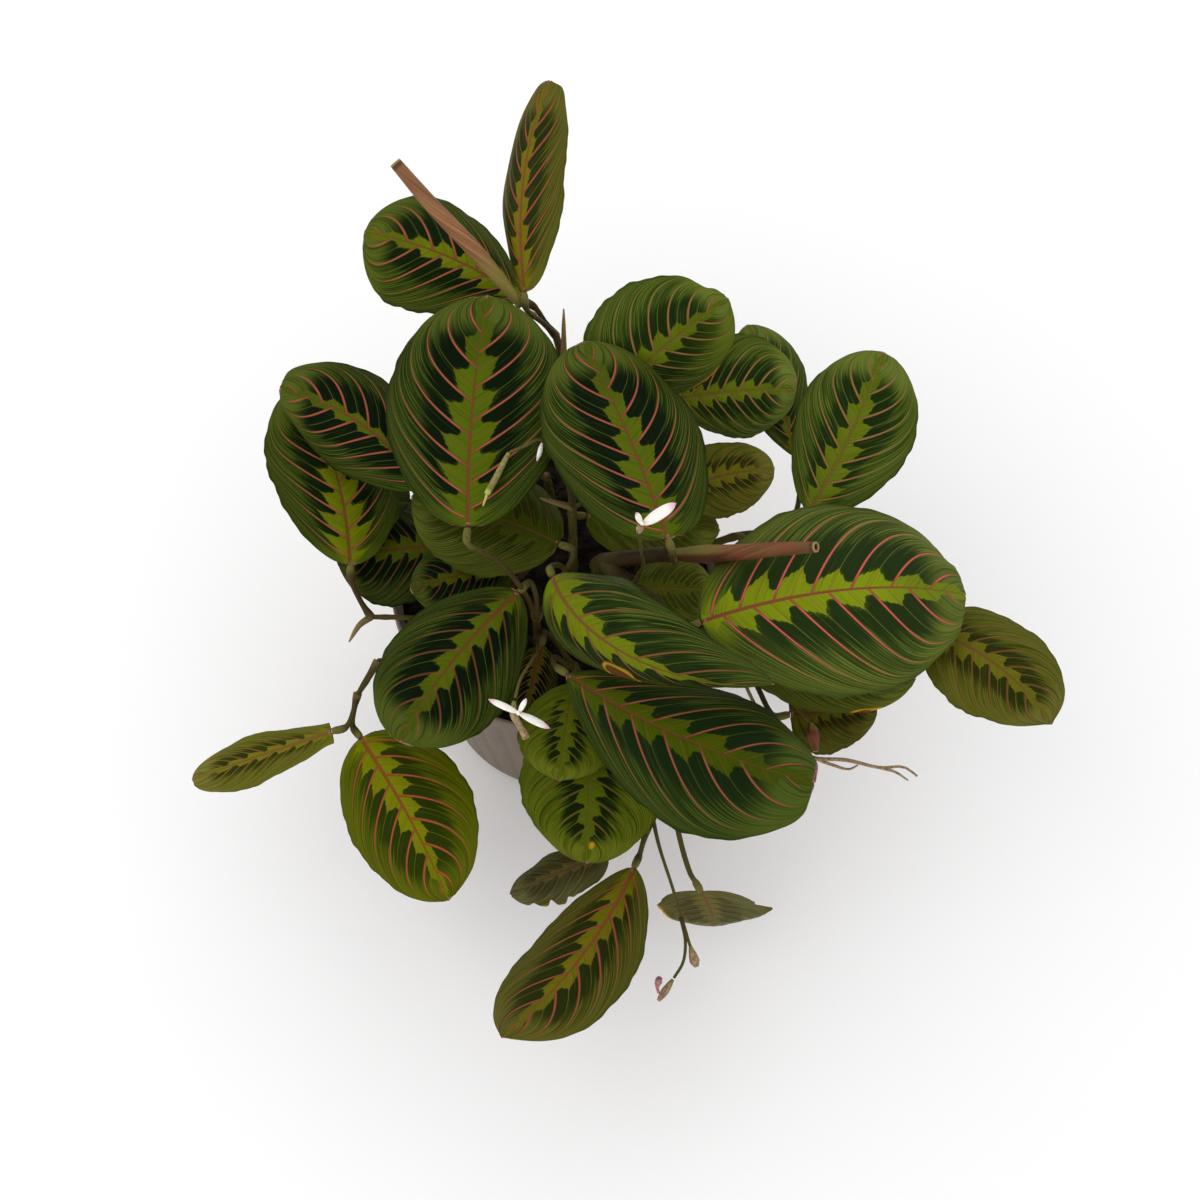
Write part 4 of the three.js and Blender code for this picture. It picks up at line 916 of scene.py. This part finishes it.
def new_blade(name, leaf, seed):
    """One blade as a closed sheet, with what its materials read: where it is, and its vein ranks."""
    even = np.linspace(0, 1, ROWS)
    s = np.clip(0.3 * (1 - np.cos(np.pi * even)) + 0.4 * even, 1e-6, 1 - 1e-5)
    even = np.linspace(-1, 1, COLUMNS + 1)
    s, t = np.meshgrid(s, np.sign(even) * np.abs(even) ** 1.15, indexing="ij")
    t = t * (1 + uneven_edge(s, t, seed, leaf["notches"]))
    flat = blade_surface(leaf, s, t)
    normal = surface_normals(blade_surface(leaf, np.clip(s, 0.02, 0.98), t))
    rank_right = vein_rank(s, np.minimum(np.abs(t), 1), SIDE_VEINS)
    rank_left = rank_right + LEFT_LEAD
    rank = np.where(t > 0, rank_left, rank_right)
    half = half_width(leaf, s)
    swell = np.sin(np.pi * (rank % 1)) ** 2 * np.clip(rank, 0, 1)
    fade = np.clip(np.abs(t) * half / 4, 0, 1) * np.clip((1 - np.abs(t)) * 4, 0, 1)
    rib = np.exp(-((t * half / RIB_SPREAD) ** 2)) * np.clip(1 - s, 0, 1) ** 0.7 * np.clip(s / 0.02, 0, 1)
    upper = flat + (QUILT * swell * fade - 0.2 * rib)[..., None] * normal
    depth = BLADE_THICKNESS * (0.45 + 0.55 * np.clip((1 - np.abs(t)) * 6, 0, 1)) + RIB_HEIGHT * rib
    points, faces = sheet(upper, upper - depth[..., None] * normal)
    per_rank = np.where(t > 0, steepness(flat, rank_left), steepness(flat, rank_right))
    masks = on_both(
        along=s, across=t, rank_right=rank_right, rank_left=rank_left, rib_mm=t * half,
        vein_mm=np.clip(1 / np.maximum(per_rank, 1e-3), 0, 60),
        scorch=spotted(s, t, leaf["scorched"]), lime=spotted(s, t, leaf["limed"]),
        band=np.interp(s, np.linspace(0, 1, len(leaf["band"])), leaf["band"]))
    # Each blade carries its brightness, partly its own tone and partly painted light and shade.
    piece = new_piece("grown_" + name, name, "leaf", points, faces, [upper_skins[leaf["look"]], purple_back],
                      shade=leaf["shade"], seed=seed, **masks)
    skins = np.repeat([0, 1, 0], [len(group) for group in faces]).astype(np.int32)
    piece.data.polygons.foreach_set("material_index", skins)


for order, (name, leaf) in enumerate(LEAVES.items()):
    new_blade(name, leaf, SEED_STEP * order)

# Rolled leaves: new leaves still wound into a tube with their purple-brown underside out. The
# seam winds slowly round the roll, and its tip is cut off square.
ROLL_TURNS = 1.9
ROLL_THICKNESS = 0.4
SEAM_WINDING = 1.1
ROLLED_LEAVES = {
    "rolled_leaf_back": dict(route=[(-14, 88, 207), (-33, 105, 222), (-52, 121, 234), (-68, 136, 245)],
        radii=[1.6, 2.8, 3.4, 3.3, 3, 2.4], seam=0.6, tint=0.0),
    "rolled_leaf_right": dict(route=[(53, -19, 179), (72, -24, 190), (90, -29, 203), (108, -34, 215)],
        radii=[2.6, 4, 3.5, 3.1, 2.7, 2], seam=2.2, tint=0.8),
    "rolled_leaf_right_low": dict(route=[(111.1, -78.1, 134), (112, -84.8, 134.5), (112.7, -90.5, 133.5)],
        radii=[0.9, 2.2, 2.4, 1.6, 0.8], seam=1.4, tint=1.0),
}


def rolled_sheet(route, radii, seam, rows=70, columns=72):
    """A sheet wound round a route: at share w of its winding, the outer radius times 0.68 + 0.32 w."""
    centre, _ = route_curve(route, rows)
    along = np.gradient(centre, axis=0)
    along /= np.linalg.norm(along, axis=1, keepdims=True)
    first = np.cross(along, [0, 0, 1])
    first /= np.linalg.norm(first, axis=1, keepdims=True)
    second = np.cross(along, first)
    share, winding = np.meshgrid(np.linspace(0, 1, rows), np.linspace(0, 1, columns), indexing="ij")
    angle = seam + SEAM_WINDING * share + 2 * np.pi * ROLL_TURNS * winding
    side = np.cos(angle)[..., None] * first[:, None] + np.sin(angle)[..., None] * second[:, None]
    reach = even_steps(radii)(share, 1) * (0.68 + 0.32 * winding)
    return centre[:, None] + reach[..., None] * side, share, winding, np.cos(angle)


roll_skin, own = new_material("rolled_leaf_skin", Roughness=0.5, Specular_IOR_Level=0.15)
share = own.attribute("along")
slant = own.attribute("winding") * 9.0 + share * 5.0
veins = own.noise(own.vector(slant * 14.0, share, 0.0), 1.0)
tint = own.attribute("tint")
light_back = own.layers(linear(150, 106, 70), (tint, (118, 80, 48)))
dark_back = own.layers(linear(106, 70, 40), (tint, (84, 56, 30)))
wine = share.step(0.5, 0.3) * own.attribute("front").step(0.3, 0.8)
back = own.layers(
    own.mix(veins.step(0.4, 0.6), light_back, dark_back),
    (own.grain(60.0).step(0.5, 0.72, 0.0, 0.6), (128, 62, 52)),
    (share.step(0.42, 0.14, 0.0, 0.9), (118, 110, 48)),
    (wine * tint, (72, 24, 24)),
    (share.step(0.955, 0.975), (84, 58, 36)),
    (share.step(0.985, 0.995), (156, 128, 84)))
own.paint(back, veins, 0.0003)
for name, roll in ROLLED_LEAVES.items():
    grid, share, winding, front = rolled_sheet(roll["route"], roll["radii"], roll["seam"])
    points, faces = sheet(grid, grid - ROLL_THICKNESS * surface_normals(grid))
    new_piece("grown_" + name, name, "rolled_leaf", points, faces, [roll_skin], tint=roll["tint"],
              **on_both(along=share, winding=winding, front=front))

# Flowers: tan cups, two closed buds, papery bracts and one dry stalk with two side twigs. Each is a
# thin tube or a few, given by its route and by its radii in even steps.
FLOWER_TUBES = {
    "bud_centre": [
        ([(-18.3, 15.3, 206), (-22.9, 6.7, 203), (-27.5, -1, 199.5)], [0.8, 1.2, 1.35, 1.4, 1.4, 1.3]),
        ([(-27.3, -0.6, 199.6), (-28.1, -2.8, 198.5), (-29.1, -5.6, 197.4)], [0.8, 0.6, 0.5, 0.35])],
    "bud_small_centre": [
        ([(-4.4, 19.2, 207.4), (-5.2, 16.1, 206), (-6.5, 12.1, 204.5)], [0.4, 0.9, 1.1, 1.0, 0.7, 0.35])],
    "flower_right_cup": [
        ([(36, -29.5, 218.6), (36, -29, 220), (36.5, -28, 222)], [0.8, 1.4, 1.6, 1.2])],
    "flower_front_cup": [
        ([(-15.9, -79.8, 163), (-16.4, -83.8, 160.5), (-14.1, -87.8, 157), (-11.1, -91.8, 152)],
         [0.8, 1.6, 1.8, 1.4, 1.5, 1.7])],
    "bract_front_right": [
        ([(60.15, -155.25, 62.8), (61.5, -159, 60), (63, -163, 57)], [0.7, 1.4, 2.0, 2.3, 1.2])],
    "bract_front_left": [
        ([(52.5, -168.6, 55.6), (50, -172, 54), (46, -177, 51)], [0.7, 1.4, 1.8, 1.6, 0.8])],
    "dry_stalk_right": [
        ([(80, -46, 125.6), (92, -68, 116), (104, -81, 114), (114, -86, 114.5), (128, -86, 112),
          (143.5, -87.6, 107), (154.4, -86.6, 105), (160.4, -89.7, 102)],
         [0.9, 0.8, 1.0, 0.8, 0.9, 0.7, 0.5]),
        ([(143.5, -87.6, 107), (150.7, -89.1, 105), (156.1, -92.1, 103)], [0.8, 0.6, 0.4]),
        ([(114, -86, 114.3), (121, -88.2, 112.5), (129.3, -89.9, 111), (133.2, -88.4, 112)],
         [0.9, 0.7, 0.4])],
}
dry_skin, own = new_material("dry_bract_skin", Roughness=0.8, Specular_IOR_Level=0.25)
fibres = own.grain(700.0, 4.0)
dry = own.layers(linear(128, 102, 74), (fibres.step(0.35, 0.65), (166, 142, 108)),
                 (own.attribute("along").step(0.3, 0.0), (112, 116, 62)))
own.paint(dry, fibres, 0.0003)
bud_skin, own = new_material("bud_skin", Roughness=0.55, Specular_IOR_Level=0.2)
streaks = own.grain(800.0, 3.0)
sepal = own.layers(linear(112, 106, 56), (streaks.step(0.35, 0.65), (140, 130, 76)),
                   (own.attribute("along").step(0.86, 0.96), (168, 172, 86)))
own.paint(sepal, streaks, 0.0002)
petal_skin, own = new_material("petal_skin", Roughness=0.5, Subsurface_Weight=0.15, Subsurface_Scale=0.001)
share = own.attribute("along")
creases = own.grain(900.0)
petal = own.layers(linear(246, 240, 232), (share.step(0.7, 0.98, 0.0, 0.85), (214, 148, 180)),
                   (share.step(0.3, 0.0, 0.0, 0.5), (204, 208, 140)),
                   (creases.step(0.5, 0.7, 0.0, 0.2), (206, 176, 176)))
own.paint(petal, creases, 0.0002)
TUBE_SKINS = {"bud_centre": ("dry_bract", bud_skin), "bud_small_centre": ("petal", petal_skin)}
for name, tubes in FLOWER_TUBES.items():
    parts = []
    for number, (route, radii) in enumerate(tubes):
        points, faces, share = swept(route, even_steps(radii), 14, 34)
        parts.append((points, faces, share + number))
    points, faces, share = gathered(parts)
    slot, skin = TUBE_SKINS.get(name, ("dry_bract", dry_skin))
    new_piece("grown_" + name, name, slot, points, faces, [skin], along=share)

# Petals: thin white petals with pink tips, which spread from a short throat. They are grown like the
# leaves' blades, only narrower and smooth.
PETAL_USUAL = dict(roll=0, camber=40, bend=18, swing=0, twist=0, widest=0.5, tip=0.4, heel=0, wave=0, waves=2)
PETAL_THICKNESS = 0.35
PETALS = {
    "flower_right_petals": dict(
        throat=[(36.8, -27.7, 222.6), (37.2, -27.5, 223.4), (37.7, -27.2, 224.2)], base=(37, -27.6, 222.6),
        petals=[dict(heading=20, pitch=40, length=17, width=6),
                dict(heading=130, pitch=60, length=6, width=3)]),
    "flower_front_petals": dict(
        throat=[(-14.8, -85.4, 162.6), (-14, -85.2, 163.1), (-13.2, -85, 163.4)], base=(-14, -85.2, 163),
        petals=[dict(heading=-20, pitch=-12, length=15, width=3.8),
                dict(heading=158, pitch=20, length=14, width=3.4),
                dict(heading=60, pitch=30, length=7, width=2.6)]),
}
s, t = np.meshgrid(np.linspace(1e-6, 1 - 1e-5, 22), np.linspace(-1, 1, 13), indexing="ij")
for name, flower in PETALS.items():
    parts = [swept(flower["throat"], even_steps([0.7, 1.0, 1.1, 0.8, 0.5]), 14, 16)]
    for plan in flower["petals"]:
        petal = {**PETAL_USUAL, **plan, "base": flower["base"]}
        upper = blade_surface(petal, s, t)
        normal = surface_normals(blade_surface(petal, np.clip(s, 0.02, 0.98), t))
        parts.append((*sheet(upper, upper - PETAL_THICKNESS * normal), np.tile(s.ravel(), 2)))
    points, faces, share = gathered(parts)
    new_piece("grown_" + name, name, "petal", points, faces, [petal_skin], along=share)

# Withered flower: one more flower, at the end of the lower front stalk, that has dried and shrunk to
# a crumpled pink and brown lump.
withered_skin, own = new_material("withered_skin", Roughness=0.6)
crumple = own.grain(800.0, 3.0)
withered = own.layers(linear(196, 128, 140), (crumple.step(0.35, 0.65), (132, 84, 76)))
own.paint(withered, crumple, 0.0006)
points, faces, _ = swept([(46, -174, 53.6), (45.5, -172, 57), (46.5, -169, 60)],
                         even_steps([0.7, 0.7, 0.8, 1.4, 1.8, 1.2]), 16, 30)
name = "withered_flower_front"
new_piece("grown_" + name, name, "rolled_leaf", points, faces, [withered_skin])

# Studio: a plain pale floor, one broad soft light above and to the left, a weaker one behind, and
# the camera high above the front of the pot.
LOOK_AT = (0.020, -0.041, 0.180)
DISTANCE = 0.900
ELEVATION = math.radians(64)
LENS = 64.3
LIT_SPOT = np.array([0, 0, 0.15])
LIGHTS = {"key_light": ((-0.8, -0.5, 1.4), 1.4, 5.0), "back_light": ((0.6, 1.2, 1.1), 1.2, 3.0)}
floor_paint, own = new_material("floor_paint", Base_Color=(0.95, 0.95, 0.95, 1), Roughness=0.9,
                                Specular_IOR_Level=0.1)
corners = np.array([(-4000, -4000, 0), (4000, -4000, 0), (4000, 4000, 0), (-4000, 4000, 0)])
meshed("floor", corners, [np.array([[0, 1, 2, 3]])], [floor_paint])

world = bpy.data.worlds.new("studio_air")
world.use_nodes = True
world.node_tree.nodes["Background"].inputs["Color"].default_value = (1.0, 1.0, 1.0, 1)
world.node_tree.nodes["Background"].inputs["Strength"].default_value = 0.95
bpy.context.scene.world = world
bpy.context.scene.view_settings.view_transform = "Standard"

for name, (spot, size, power) in LIGHTS.items():
    light = bpy.data.lights.new(name, "AREA")
    light.size = size
    light.energy = power
    lamp = placed(name, light)
    lamp.location = spot
    x, y, z = LIT_SPOT - spot
    lamp.rotation_euler = (math.acos(-z / math.hypot(x, y, z)), 0, math.atan2(y, x) - math.pi / 2)

lens = bpy.data.cameras.new("camera")
lens.lens = LENS
lens.sensor_width = 36
camera = placed("camera", lens)
back, rise = DISTANCE * math.cos(ELEVATION), DISTANCE * math.sin(ELEVATION)
camera.location = (LOOK_AT[0], LOOK_AT[1] - back, LOOK_AT[2] + rise)
camera.rotation_euler = (math.pi / 2 - ELEVATION, 0, 0)
bpy.context.scene.camera = camera
